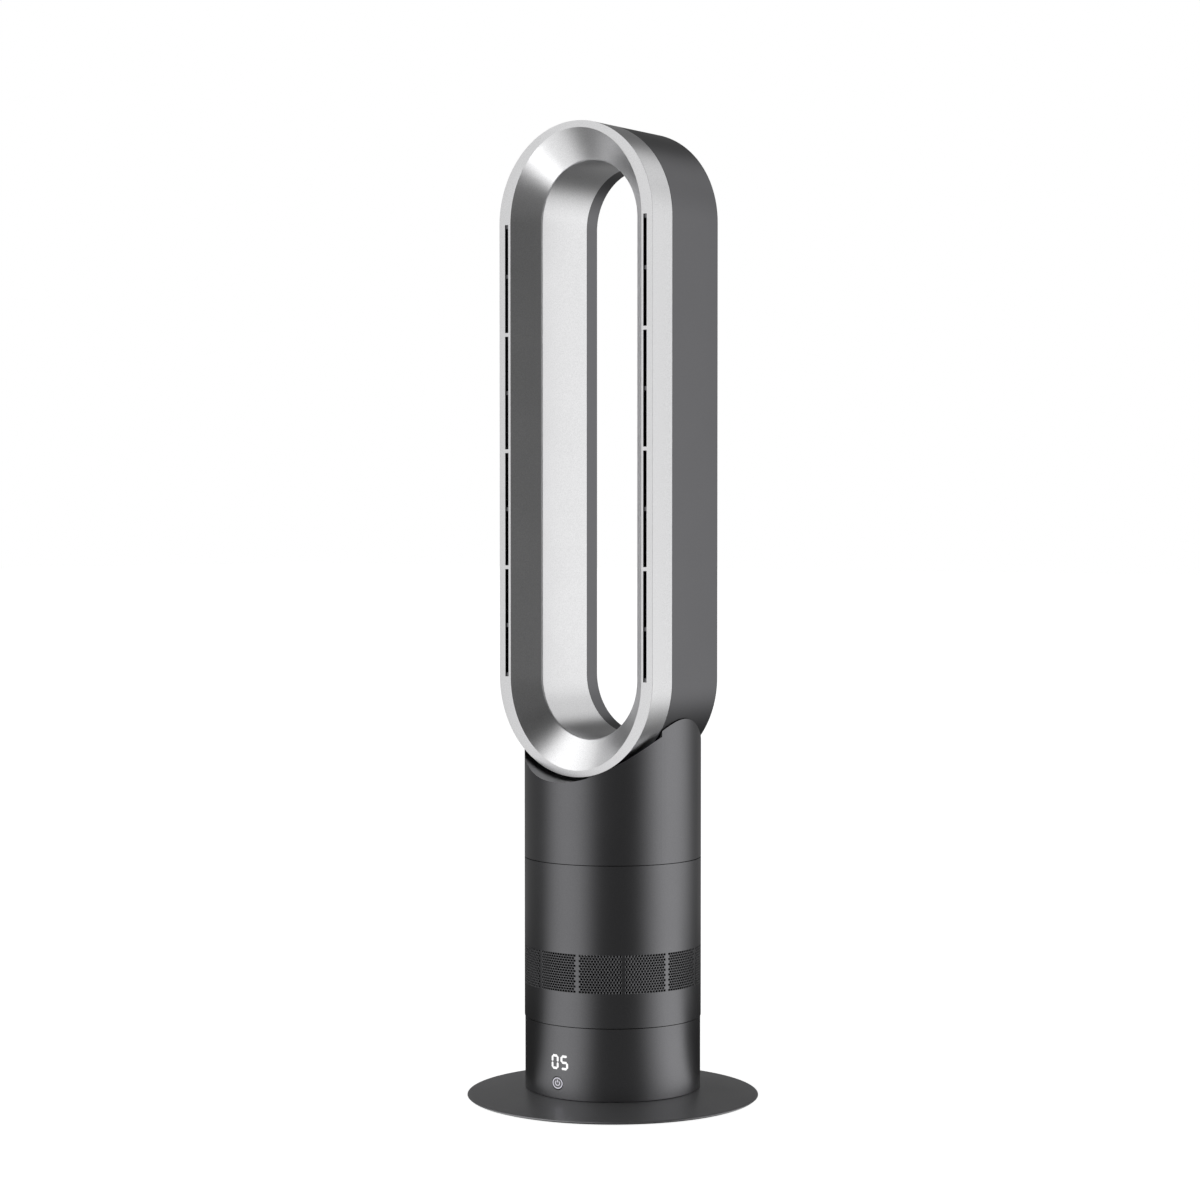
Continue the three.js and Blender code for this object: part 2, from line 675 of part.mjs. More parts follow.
// Plate that carries the ballast and the boards, clamped with the housing by the floor screws
function baseFloor() {
  const plate = cylinder(baseInner - FIT, floorBottom, floorTop, INNER_ROUND);
  const holes = floorScrewPlaces.map(([x, y]) => rod(SCREW_RADIUS + FIT, 0, floorTop + 1, x, y));
  const standoffs = standoffPlaces.map(([x, y]) => (
    rod(STANDOFF_RADIUS, floorTop - 1, floorTop + STANDOFF_HEIGHT, x, y)
  ));
  return cut(joined(plate, ...standoffs), ...holes);
}

const standoffPlaces = [[1, 1], [-1, 1], [-1, -1], [1, -1]]
  .map(([sx, sy]) => [sx * STANDOFF_X, sy * STANDOFF_Y]);

const ballastPlate = () => (
  sleeve(BALLAST_INNER, ballastOuter, floorTop + FIT, floorTop + FIT + BALLAST_THICKNESS, INNER_ROUND)
);

function controlBoard() {
  const bottom = floorTop + STANDOFF_HEIGHT + FIT;
  const top = bottom + BOARD_THICKNESS;
  const half = CHIP_SIZE / 2;
  const edge = BOARD_HALF_DEPTH - PLUG_DEPTH;
  const sheet = block(-BOARD_HALF_WIDTH, BOARD_HALF_WIDTH, -BOARD_HALF_DEPTH, BOARD_HALF_DEPTH, bottom, top);
  const chip = block(-half, half, -half, half, bottom, top + CHIP_HEIGHT);
  const capacitor = rod(CAPACITOR_RADIUS, bottom, top + CAPACITOR_HEIGHT, STANDOFF_X, 0);
  const plug = block(-PLUG_WIDTH / 2, PLUG_WIDTH / 2, -BOARD_HALF_DEPTH, -edge, bottom, top + PLUG_HEIGHT);
  return joined(sheet, chip, capacitor, plug);
}

// Upright board behind the front of the housing, with the display and the key's switch
function panelBoard() {
  const half = PANEL_BOARD_HALF_WIDTH;
  const top = displayZ + DISPLAY_HALF_HEIGHT;
  return block(-half, half, panelBoardFront, panelBoardFront + BOARD_THICKNESS, floorTop + FIT, top);
}

function displayModule() {
  const inset = 2 * FIT;
  return block(
    DISPLAY_X - DISPLAY_HALF_WIDTH + inset, DISPLAY_X + DISPLAY_HALF_WIDTH - inset,
    displayFront, panelBoardFront - FIT,
    displayZ - DISPLAY_HALF_HEIGHT + inset, displayZ + DISPLAY_HALF_HEIGHT - inset,
  );
}

const switchFront = panelBoardFront - FIT - SWITCH_DEPTH;

function keySwitch() {
  const half = SWITCH_SIZE / 2;
  const body = block(-half, half, switchFront, panelBoardFront - FIT, keyZ - half, keyZ + half);
  return joined(body, barY(half / 2, switchFront - SWITCH_NUB, switchFront + 1, 0, keyZ));
}

// Power key: a cap flush with the housing, a flange that stops it and a stem to the switch
function powerKey() {
  const flangeFront = FIT - Math.sqrt(baseInner ** 2 - (KEY_RADIUS + KEY_FLANGE) ** 2);
  const flangeBack = flangeFront + KEY_FLANGE_THICKNESS;
  const stemEnd = switchFront - SWITCH_NUB - FIT - KEY_TRAVEL;
  const cap = barY(KEY_RADIUS, -baseRadius - 1, flangeBack, 0, keyZ, INNER_ROUND);
  const round = cylinder(baseRadius, seatTop, lowerSeam);
  const flange = barY(KEY_RADIUS + KEY_FLANGE, flangeFront, flangeBack, 0, keyZ);
  return joined(cap.intersect(round), flange, barY(KEY_STEM_RADIUS, flangeFront, stemEnd, 0, keyZ));
}

function powerSocket() {
  const mouth = Math.sqrt(baseInner ** 2 - SOCKET_HALF_WIDTH ** 2) - FIT;
  const half = SOCKET_HALF_WIDTH;
  const low = socketZ - SOCKET_HEIGHT / 2;
  const body = block(-half, half, mouth - SOCKET_LENGTH, mouth, low, low + SOCKET_HEIGHT);
  const floor = mouth - SOCKET_BORE_DEPTH;
  const hollow = cut(body, barY(SOCKET_BORE, floor, mouth + 1, 0, socketZ));
  return joined(hollow, barY(SOCKET_PIN_RADIUS, floor - 1, mouth - SOCKET_PIN_SETBACK, 0, socketZ));
}

// Top plate of the base section, with the hollow post that the column turns on
function baseDeck() {
  const rim = baseInner - FIT;
  const neckRadius = POST_RADIUS - POST_GROOVE;
  const plate = ring([
    [POST_BORE, deckBottom], [rim, deckBottom], [rim, deckTop], [POST_RADIUS, deckTop],
    [POST_RADIUS, grooveBottom], [neckRadius, grooveBottom], [neckRadius, grooveTop],
    [POST_RADIUS, grooveTop], [POST_RADIUS, postTop], [POST_BORE, postTop],
  ], INNER_ROUND);
  const holes = deckScrewPlaces.map(([x, y]) => rod(SCREW_RADIUS + FIT, deckBottom - 1, deckTop + 1, x, y));
  const shaftHole = rod(DRIVE_SHAFT_RADIUS + RUNNING, deckBottom - 1, deckTop + 1, 0, driveY);
  return cut(plate, ...holes, shaftHole);
}

function retainingRing() {
  const bottom = grooveBottom + FIT / 2;
  const inner = POST_RADIUS - POST_GROOVE + FIT / 2;
  return sleeve(inner, POST_RADIUS + RETAINER_WIDTH, bottom, bottom + RETAINER_THICKNESS, INNER_ROUND);
}

function stepperMotor() {
  const top = deckBottom - FIT;
  const can = rod(DRIVE_RADIUS, top - DRIVE_HEIGHT, top, 0, driveY, INNER_ROUND);
  const half = DRIVE_TAIL_WIDTH / 2;
  const reach = driveY + DRIVE_RADIUS + DRIVE_TAIL_REACH;
  const low = top - DRIVE_HEIGHT + DRIVE_TAIL_INSET;
  const tail = block(-half, half, driveY, reach, low, top - DRIVE_TAIL_INSET);
  const shaft = rod(DRIVE_SHAFT_RADIUS, top - 1, pinionBottom + PINION_FACE, 0, driveY);
  return joined(can, tail, shaft);
}

const slideRing = () => sleeve(slideInner, slideOuter, deckTop + FIT, slideTop, INNER_ROUND);

// ---------------------------------------------------------------- turning drive

// Outline of a toothed wheel with straight-sided teeth. The shares give the width of a tooth at its
// tip and root as a part of the tooth pitch, and start is the place of the first tooth in degrees.
function toothedOutline(teeth, tip, root, tipShare, rootShare, start = 0) {
  const points = [];
  for (const angle of around(teeth, start)) {
    const step = Math.PI / teeth;
    const corners = [[root, -rootShare], [tip, -tipShare], [tip, tipShare], [root, rootShare]];
    for (const [radius, share] of corners) {
      const turn = angle + share * step;
      points.push(new THREE.Vector2(radius * Math.cos(turn), radius * Math.sin(turn)));
    }
  }
  return new THREE.Shape(points);
}

const gearBottom = slideTop + FIT;
const pinionBottom = gearBottom + FIT;

function drivePinion() {
  const outline = toothedOutline(
    PINION_TEETH, pinionPitch + GEAR_ADDENDUM, pinionPitch - GEAR_DEDENDUM,
    PINION_TIP, PINION_ROOT, 90 + 180 / PINION_TEETH,
  );
  const wheel = raised(outline, pinionBottom, pinionBottom + PINION_FACE);
  const bore = rod(DRIVE_SHAFT_RADIUS + FIT, pinionBottom - 1, pinionBottom + PINION_FACE + 1);
  return cut(wheel, bore);
}

// Turntable: a plate under the column with its hub, its sliding ring and the inside-toothed gear
function turntable() {
  const rim = columnInner - FIT;
  const hubBore = POST_RADIUS + FIT;
  const plate = ring([
    [hubBore, turntableBottom], [rim, turntableBottom], [rim, turntableTop],
    [hubBore + HUB_WALL, turntableTop], [hubBore + HUB_WALL, hubTop], [hubBore, hubTop],
  ], INNER_ROUND);
  const middle = turntableBottom + TURNTABLE_THICKNESS / 2;
  const slider = sleeve(
    slideInner + SLIDE_MARGIN, slideOuter - SLIDE_MARGIN, gearBottom, middle, INNER_ROUND,
  );
  const outline = toothedOutline(
    RING_TEETH, ringPitch - GEAR_ADDENDUM, ringPitch + GEAR_DEDENDUM, RING_TIP, RING_ROOT, 90,
  );
  const teethHole = raised(outline, gearBottom - 1, turntableBottom);
  const gearOuter = ringPitch + GEAR_DEDENDUM + GEAR_RIM;
  const gear = cut(sleeve(hubBore + HUB_WALL, gearOuter, gearBottom, middle, INNER_ROUND), teethHole);
  const holes = bodyScrewPlaces.map(([x, y]) => (
    rod(SCREW_RADIUS + FIT, turntableBottom - 1, turntableTop + 1, x, y)
  ));
  return cut(joined(plate, slider, gear), ...holes);
}

const bodyScrewPlaces = around(BODY_SCREW_COUNT, SCREW_TURN)
  .map((angle) => onCircle(bodyScrewCircle, angle));

// ---------------------------------------------------------------- column body

// Openings of the inlet band: twelve panels of upright slots with plain ribs between the panels
function inletHoles() {
  const middle = bodyBottom + INLET_BOTTOM + INLET_HEIGHT / 2;
  const column = INLET_COLUMN_ANGLE * Math.PI / 180;
  const width = 2 * COLUMN_RADIUS * Math.sin(column / 2) - INLET_BAR;
  const holes = [];
  for (const panel of around(INLET_PANELS)) {
    for (let k = 0; k < INLET_COLUMNS; k += 1) {
      const across = (k - (INLET_COLUMNS - 1) / 2) * column;
      holes.push(new THREE.BoxGeometry(width, CASE_WALL * 4, INLET_HEIGHT - INLET_BAR)
        .translate(0, -COLUMN_RADIUS, middle)
        .rotateZ(panel + across));
    }
  }
  return solidOf(mergeGeometries(holes));
}

// Foam block on the turntable that quietens the inlet chamber. It has room for the post and the lead.
function silencerFoam() {
  const bottom = turntableTop + FIT;
  const room = POST_RADIUS + RETAINER_WIDTH + RUNNING;
  const slotTop = leadTurn + LEAD_RADIUS + RUNNING;
  return cut(
    cylinder(FOAM_RADIUS, bottom, bottom + FOAM_HEIGHT, INNER_ROUND),
    cylinder(room, bottom - 1, postTop + RUNNING, INNER_ROUND),
    block(-LEAD_SLOT, LEAD_SLOT, -LEAD_SLOT, FOAM_RADIUS + 1, postTop, slotTop),
  );
}

// The lead passes the ledge, the isolator and the diffuser's flange through one notch
const leadNotch = () => block(
  -LEAD_SLOT, LEAD_SLOT, diffuserRadius + FIT, columnInner + FIT / 2,
  ledgeTop - LEDGE_THICKNESS - LEDGE_TAPER - 1, diffuserBottom + LEDGE_THICKNESS + 1,
);

function bodyShell() {
  const ledge = ledgeTop - LEDGE_THICKNESS;
  const wall = ring([
    [columnInner, bodyBottom], [COLUMN_RADIUS, bodyBottom], [COLUMN_RADIUS, bodyTop],
    [columnInner, bodyTop], [columnInner, ledgeTop], [ledgeInner, ledgeTop],
    [ledgeInner, ledge], [columnInner, ledge - LEDGE_TAPER],
  ]);
  const bossBottom = turntableTop + FIT;
  const room = cylinder(COLUMN_RADIUS - 1, bossBottom, ledge);
  const bosses = bodyScrewPlaces.map(([x, y]) => (
    rod(BODY_BOSS_RADIUS, bossBottom, bossBottom + BODY_BOSS_HEIGHT, x, y).intersect(room)
  ));
  const pilots = bodyScrewPlaces.map(([x, y]) => (
    rod(SCREW_RADIUS + FIT, bossBottom - 1, turntableBottom + SCREW_BITE + FIT, x, y)
  ));
  return cut(joined(wall, ...bosses), ...pilots, inletHoles(), leadNotch());
}

function isolatorRing() {
  const bottom = ledgeTop + FIT;
  const outer = columnInner - FIT;
  const strip = sleeve(ledgeInner + FIT, outer, bottom, bottom + ISOLATOR_THICKNESS, INNER_ROUND);
  return cut(strip, leadNotch());
}

// ---------------------------------------------------------------- air mover

// Thin blade that leans round the axis: a strip from one radius to another, turned about its middle
function leaningStrip(inner, outer, bottom, top, thickness, lean, angle) {
  const strip = new THREE.BoxGeometry(outer - inner, thickness, (top - bottom) / Math.cos(lean))
    .rotateX(lean)
    .translate((inner + outer) / 2, 0, (bottom + top) / 2)
    .rotateZ(angle);
  return solidOf(strip);
}

// Outer tube with its flange, inner ring and the vanes that straighten the air
function diffuser() {
  const flange = columnInner - FIT;
  const outer = ring([
    [diffuserBore, diffuserBottom], [flange, diffuserBottom],
    [flange, diffuserBottom + LEDGE_THICKNESS], [diffuserRadius, diffuserBottom + LEDGE_THICKNESS],
    [diffuserRadius, diffuserTop], [diffuserBore, diffuserTop],
  ], INNER_ROUND);
  const coreTop = canTop - CORE_WALL - FIT;
  const core = sleeve(coreBore, coreBore + CORE_WALL, canBottom + FIT, coreTop, INNER_ROUND);
  const middle = (canBottom + coreTop) / 2;
  const lean = VANE_LEAN * Math.PI / 180;
  const vanes = around(VANE_COUNT, 10).map((angle) => leaningStrip(
    coreBore + CORE_WALL / 2, diffuserBore + DIFFUSER_WALL / 2,
    middle - VANE_HEIGHT / 2, middle + VANE_HEIGHT / 2, VANE_THICKNESS, lean, angle,
  ));
  return cut(joined(outer, core, ...vanes), leadNotch());
}

// Bell mouth that leads the air into the impeller. It plugs into the diffuser's tube.
function intakeRing() {
  const plug = diffuserBore - FIT;
  const lip = diffuserBottom - INTAKE_DROP;
  const wall = INTAKE_WALL;
  return ring([
    [intakeMouth, lip], [intakeMouth, lip + wall],
    [INTAKE_EYE + 3 * wall, lip + 2 * wall], [INTAKE_EYE + wall, diffuserBottom - wall],
    [plug, diffuserBottom - wall], [plug, diffuserBottom + wall],
    [INTAKE_EYE, diffuserBottom + wall], [INTAKE_EYE, diffuserBottom - wall],
    [INTAKE_EYE + wall, lip + wall], [INTAKE_EYE + 3 * wall, lip],
  ], INNER_ROUND);
}

// Mixed-flow wheel: a cone-shaped hub with blades set at an angle
function impeller() {
  const top = impellerBottom + IMPELLER_HEIGHT;
  const hub = ring([
    [SHAFT_RADIUS + FIT, impellerBottom], [IMPELLER_HUB_LOW, impellerBottom],
    [IMPELLER_HUB_LOW + IMPELLER_NOSE_SPREAD, impellerBottom + IMPELLER_NOSE_RISE],
    [IMPELLER_HUB_HIGH, top], [SHAFT_RADIUS + FIT, top],
  ], INNER_ROUND);
  const tip = diffuserBore - IMPELLER_TIP_GAP;
  const pitch = BLADE_PITCH * Math.PI / 180;
  const blades = around(BLADE_COUNT).map((angle) => leaningStrip(
    IMPELLER_HUB_LOW - 2, tip + 2, impellerBottom + 1, top - 1, BLADE_THICKNESS, pitch, angle,
  ));
  const swept = ring([
    [SHAFT_RADIUS + 2, impellerBottom], [INTAKE_EYE - FIT, impellerBottom],
    [tip, impellerBottom + IMPELLER_HEIGHT / 2], [tip, top], [SHAFT_RADIUS + 2, top],
  ], INNER_ROUND);
  return joined(hub, joined(...blades).intersect(swept));
}

const motorShaft = () => rod(SHAFT_RADIUS, impellerBottom, bellTop);

function motorCan() {
  const floor = canBottom + CORE_WALL;
  const radius = CORE_RADIUS;
  const inner = radius - CORE_WALL;
  const tubeBore = BEARING_RADIUS + FIT;
  return ring([
    [SHAFT_RADIUS + RUNNING, canBottom], [radius, canBottom], [radius, canTop - CORE_WALL],
    [radius + CAN_FLANGE, canTop - CORE_WALL], [radius + CAN_FLANGE, canTop], [inner, canTop],
    [inner, floor], [motorTube, floor], [motorTube, motorTubeTop], [tubeBore, motorTubeTop],
    [tubeBore, floor], [SHAFT_RADIUS + RUNNING, floor],
  ], INNER_ROUND);
}

const bearing = (bottom) => sleeve(
  SHAFT_RADIUS + FIT, BEARING_RADIUS, bottom, bottom + BEARING_HEIGHT, INNER_ROUND,
);

// Wound core: a nine-armed star whose arms carry the coils
function stator() {
  const bottom = motorTubeTop - COIL_OVERHANG - STATOR_HEIGHT;
  const top = bottom + STATOR_HEIGHT;
  const yoke = sleeve(motorTube + FIT, motorTube + FIT + STATOR_POLE, bottom, top, INNER_ROUND);
  const poles = around(STATOR_TEETH).map((angle) => solidOf(
    blockShape(motorTube + 1, STATOR_RADIUS, -STATOR_POLE, STATOR_POLE, bottom, top).rotateZ(angle),
  ));
  const coils = around(STATOR_TEETH).map((angle) => solidOf(blockShape(
    motorTube + FIT + STATOR_POLE, STATOR_RADIUS - STATOR_POLE,
    -COIL_HALF_WIDTH, COIL_HALF_WIDTH, bottom - COIL_OVERHANG, top + COIL_OVERHANG,
  ).rotateZ(angle)));
  const tube = rod(motorTube + FIT, bottom - COIL_OVERHANG - 1, top + COIL_OVERHANG + 1, 0, 0, INNER_ROUND);
  return cut(joined(yoke, ...poles, ...coils), tube);
}

function rotorBell() {
  const plate = bellTop - BELL_WALL;
  return ring([
    [SHAFT_RADIUS + FIT, plate], [bellBore, plate], [bellBore, bellTop - BELL_HEIGHT],
    [bellRadius, bellTop - BELL_HEIGHT], [bellRadius, bellTop], [SHAFT_RADIUS + FIT, bellTop],
  ], INNER_ROUND);
}

const magnetRing = () => sleeve(
  bellBore - FIT - MAGNET_THICKNESS, bellBore - FIT,
  bellTop - BELL_HEIGHT + 1, bellTop - BELL_WALL - FIT, INNER_ROUND,
);

// Low conical cap over the motor can
function motorCover() {
  const bottom = canTop + FIT;
  const rim = CORE_RADIUS + CAN_FLANGE;
  const top = bottom + COVER_RISE;
  return turned([
    [0, top - CORE_WALL], [CORE_RADIUS - 2 * CORE_WALL, bottom], [rim, bottom],
    [rim, bottom + CORE_WALL], [0, top],
  ], INNER_ROUND);
}

// Lead of the motor: up the axis, out to the wall, and up past the ledge to the diffuser
function motorLead() {
  const bend = LEAD_BEND;
  const wallY = columnInner - LEAD_RADIUS - LEAD_CLEARANCE;
  const sideY = diffuserRadius + LEAD_RADIUS + 2 * FIT;
  const places = [
    [0, turntableBottom], [0, hubTop], [bend, leadTurn], [wallY - bend, leadTurn],
    [wallY, leadTurn + bend], [wallY, ledgeTop], [wallY, diffuserBottom],
    [sideY, canBottom - bend], [sideY, canBottom],
  ];
  const path = new THREE.CatmullRomCurve3(
    places.map(([y, z]) => new THREE.Vector3(0, y, z)), false, 'centripetal',
  );
  const section = new THREE.Shape();
  section.absarc(0, 0, LEAD_RADIUS, 0, Math.PI * 2);
  return solidOf(new THREE.ExtrudeGeometry(section, {
    steps: LEAD_STEPS, curveSegments: LEAD_SIDES / 2, extrudePath: path,
  }));
}

// ---------------------------------------------------------------- collar

const collarBossPlaces = around(COLLAR_BOSS_COUNT, 90).map((angle) => onCircle(collarBossCircle, angle));

// Saddle that the loop sits in. It stands further off in front, under the silver band.
function saddlePlug(extra) {
  const reach = COLUMN_RADIUS + 10;
  const step = bandBack - FIT;
  const behind = loopPlug([
    [step, skinHalf(step) + SADDLE_GAP + extra],
    [backY, skinHalf(backY) + SADDLE_GAP + extra],
    [reach, skinHalf(backY) + SADDLE_GAP + extra],
  ]);
  return joined(behind, straightPlug(-reach, step + extra, LOOP_HALF_WIDTH + REVEAL_GAP + extra));
}

function headCollar() {
  const top = lowArc;
  const post = cylinder(COLUMN_RADIUS, collarBottom, top);
  const room = cylinder(columnInner, collarBottom - 1, top + 1);
  const hollow = cut(room, saddlePlug(SADDLE_DECK));
  const neckHole = raised(roundedRectangle(
    -NECK_HALF_WIDTH - SADDLE_GAP, NECK_HALF_WIDTH + SADDLE_GAP,
    -NECK_FRONT - SADDLE_GAP, NECK_BACK + SADDLE_GAP, NECK_CORNER + SADDLE_GAP,
  ), collarBottom, top);
  const spigotOuter = columnInner - FIT;
  const spigot = ring([
    [spigotOuter - SPIGOT_WALL, collarBottom - SPIGOT_DEPTH], [spigotOuter, collarBottom - SPIGOT_DEPTH],
    [spigotOuter, collarBottom], [columnInner + 1, collarBottom],
    [columnInner + 1, collarBottom + SPIGOT_WALL], [spigotOuter - SPIGOT_WALL, collarBottom + SPIGOT_WALL],
  ]);
  const saddle = saddlePlug(0);
  const bosses = collarBossPlaces.map(([x, y]) => (
    rod(NECK_BOSS_RADIUS, plateTop + FIT, top, x, y).subtract(saddle)
  ));
  const pilots = collarBossPlaces.map(([x, y]) => (
    rod(SCREW_RADIUS + FIT, plateTop, plateTop + SCREW_BITE + FIT, x, y)
  ));
  return cut(joined(cut(post, saddle, hollow), spigot, ...bosses), neckHole, ...pilots);
}

// Plate that closes the top of the plenum and holds the loop's neck
function plenumPlate() {
  const plate = cylinder(columnInner - FIT, plateBottom, plateTop, INNER_ROUND);
  const inside = NECK_WALL;
  const passage = roundedRectangle(
    -NECK_HALF_WIDTH + 2 * NECK_BOSS_RADIUS + inside, NECK_HALF_WIDTH - 2 * NECK_BOSS_RADIUS - inside,
    -NECK_FRONT + inside, NECK_BACK - inside, NECK_CORNER - inside,
  );
  const holes = [...neckBossPlaces(), ...collarBossPlaces].map(([x, y]) => (
    rod(SCREW_RADIUS + FIT, plateBottom - 1, plateTop + 1, x, y)
  ));
  return cut(plate, raised(passage, plateBottom - 1, plateTop + 1), ...holes);
}

function neckSeal() {
  const frame = roundedRectangle(-NECK_HALF_WIDTH, NECK_HALF_WIDTH, -NECK_FRONT, NECK_BACK, NECK_CORNER);
  const inside = NECK_WALL;
  frame.holes.push(roundedRectangle(
    -NECK_HALF_WIDTH + 2 * NECK_BOSS_RADIUS + inside, NECK_HALF_WIDTH - 2 * NECK_BOSS_RADIUS - inside,
    -NECK_FRONT + inside, NECK_BACK - inside, NECK_CORNER - inside,
  ));
  const bottom = plateTop + FIT;
  const holes = neckBossPlaces().map(([x, y]) => rod(SCREW_RADIUS + FIT, bottom - 1, neckBottom, x, y));
  return cut(raised(frame, bottom, bottom + SEAL_THICKNESS), ...holes);
}

// ---------------------------------------------------------------- assembly

const fan = new THREE.Group();

function add(name, solid, finish) {
  const mesh = new THREE.Mesh(geometryOf(solid), new THREE.MeshStandardMaterial(FINISH[finish]));
  mesh.name = name;
  fan.add(mesh);
  return mesh;
}

// Base
add('base_disc', baseDisc(), 'satinDark');
footPlaces.forEach((place, k) => add(`foot_${k + 1}`, foot(place), 'rubber'));
add('base_housing', baseHousing(), 'satinDark');
add('base_floor', baseFloor(), 'innerBlack');
floorScrewPlaces.forEach(([x, y], k) => {
  const length = floorBottom - headSeat + FLOOR_THICKNESS - FIT;
  add(`floor_screw_${k + 1}`, screwUp(x, y, headSeat - FIT, length), 'steel');
});
add('ballast_plate', ballastPlate(), 'iron');
add('control_board', controlBoard(), 'board');
add('panel_board', panelBoard(), 'board');
add('display_module', displayModule(), 'display');
add('key_switch', keySwitch(), 'steel');
add('power_key', powerKey(), 'satinDark');
add('power_socket', powerSocket(), 'innerBlack');
add('base_deck', baseDeck(), 'innerBlack');
deckScrewPlaces.forEach(([x, y], k) => {
  add(`deck_screw_${k + 1}`, screwDown(x, y, deckTop + FIT, SCREW_BITE), 'steel');
});
add('retaining_ring', retainingRing(), 'steel');
add('slide_ring', slideRing(), 'nylon');
add('stepper_motor', stepperMotor(), 'steel');
add('drive_pinion', drivePinion(), 'nylon').position.set(0, driveY, 0);

// Turning column
add('turntable', turntable(), 'nylon');
bodyScrewPlaces.forEach(([x, y], k) => {
  add(`body_screw_${k + 1}`, screwUp(x, y, turntableBottom - FIT, SCREW_BITE), 'steel');
});
add('body_shell', bodyShell(), 'satinDark');
add('silencer_foam', silencerFoam(), 'rubber');
add('isolator_ring', isolatorRing(), 'rubber');
add('intake_ring', intakeRing(), 'innerBlack');
add('diffuser', diffuser(), 'innerBlack');
add('motor_can', motorCan(), 'innerBlack');
add('motor_cover', motorCover(), 'innerBlack');
add('stator', stator(), 'copper');
add('lower_bearing', bearing(canBottom + CORE_WALL + FIT), 'steel');
add('upper_bearing', bearing(motorTubeTop - BEARING_HEIGHT), 'steel');
add('motor_lead', motorLead(), 'rubber');

// Spinning pieces
add('impeller', impeller(), 'innerBlack');
add('motor_shaft', motorShaft(), 'steel');
add('rotor_bell', rotorBell(), 'steel');
add('magnet_ring', magnetRing(), 'iron');

// Collar and loop
add('head_collar', headCollar(), 'satinDark');
add('plenum_plate', plenumPlate(), 'innerBlack');
collarBossPlaces.forEach(([x, y], k) => {
  add(`plate_screw_${k + 1}`, screwUp(x, y, plateBottom - FIT, SCREW_BITE), 'steel');
});
add('neck_seal', neckSeal(), 'rubber');
neckBossPlaces().forEach(([x, y], k) => {
  add(`neck_screw_${k + 1}`, screwUp(x, y, plateBottom - FIT, SCREW_BITE), 'steel');
});
add('rear_shell', rearShell(), 'shellDark');
add('front_bezel', frontBezel(), 'silver');
add('left_air_guide', airGuide(-1), 'innerBlack');
add('right_air_guide', airGuide(1), 'innerBlack');

export default fan;
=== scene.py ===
"""Looks of a bladeless tower fan, built around its packed frame.

Metres, +Z up. The fan's front faces -Y, and the origin is the centre of its base on the floor.
"""

from math import asin, atan2, cos, hypot, pi, radians, sin, sqrt

import bmesh
import bpy
from bpy.props import FloatProperty, FloatVectorProperty, IntProperty, PointerProperty
from mathutils import Matrix, Vector


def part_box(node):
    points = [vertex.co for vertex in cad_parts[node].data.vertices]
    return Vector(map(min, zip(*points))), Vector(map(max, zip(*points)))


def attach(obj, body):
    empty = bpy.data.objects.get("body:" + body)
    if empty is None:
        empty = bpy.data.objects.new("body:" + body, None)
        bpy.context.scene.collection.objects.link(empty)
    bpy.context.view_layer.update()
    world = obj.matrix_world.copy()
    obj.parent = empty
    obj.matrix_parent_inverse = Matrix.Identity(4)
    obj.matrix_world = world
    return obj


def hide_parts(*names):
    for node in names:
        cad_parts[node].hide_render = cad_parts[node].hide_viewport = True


bl_info = {
    "name": "Bladeless tower fan",
    "version": (1, 0, 0),
    "blender": (4, 5, 0),
    "location": "View3D > Sidebar > Tower fan",
    "description": "Builds the visible shells, finishes and studio of a bladeless tower fan",
    "category": "Object",
}

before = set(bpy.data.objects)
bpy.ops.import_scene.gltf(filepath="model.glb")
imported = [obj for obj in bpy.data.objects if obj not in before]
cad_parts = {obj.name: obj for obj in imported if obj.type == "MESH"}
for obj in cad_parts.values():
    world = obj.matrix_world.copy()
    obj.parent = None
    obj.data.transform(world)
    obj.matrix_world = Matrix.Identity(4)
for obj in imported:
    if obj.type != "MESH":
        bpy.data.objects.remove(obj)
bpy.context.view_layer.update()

MM = 0.001
TINY = 0.01 * MM
UP = Vector((0, 0, 1))

# What the frame gives
DISC_LOW, DISC_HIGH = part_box("base_disc")
CASE_LOW, CASE_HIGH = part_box("base_housing")
BODY_LOW, BODY_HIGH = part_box("body_shell")
COLLAR_LOW, COLLAR_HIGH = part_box("head_collar")
FRONT_LOW, FRONT_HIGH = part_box("front_bezel")
BACK_LOW, BACK_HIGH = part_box("rear_shell")
DECK_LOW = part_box("base_deck")[0]
ISOLATOR_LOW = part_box("isolator_ring")[0]

LOOP_HALF = FRONT_HIGH.x
LOOP_MIDDLE = (FRONT_LOW.z + FRONT_HIGH.z) / 2
LOOP_STRAIGHT = FRONT_HIGH.z - FRONT_LOW.z - 2 * LOOP_HALF
LOW_ARC = LOOP_MIDDLE - LOOP_STRAIGHT / 2
HIGH_ARC = LOOP_MIDDLE + LOOP_STRAIGHT / 2
LOOP_FRONT = FRONT_LOW.y
LOOP_BACK = BACK_HIGH.y
COLUMN_RADIUS = BODY_HIGH.x
CASE_RADIUS = CASE_HIGH.x
DISC_RADIUS = DISC_HIGH.x

# Gap between pieces that fit into each other, and height of the joint line under the collar
FIT = 0.3 * MM
COLLAR_JOINT = BODY_HIGH.z + 0.5 * MM
# Thickness of a lit drawing, and its lift off the surface behind it
LIT_FILM = 0.08 * MM
LIT_LIFT = 0.01 * MM

# Steps round a full turn, and round each half-round end of the loop
ROUND = 240
LOOP_TURNS = 72


# ---------------------------------------------------------------- colours


def linear(code):
    """A colour written as sRGB hex, as linear red, green and blue."""
    parts = (int(code[at:at + 2], 16) / 255 for at in (0, 2, 4))
    return tuple(p / 12.92 if p <= 0.04045 else ((p + 0.055) / 1.055) ** 2.4 for p in parts)


# ---------------------------------------------------------------- sizes and colours a user may change


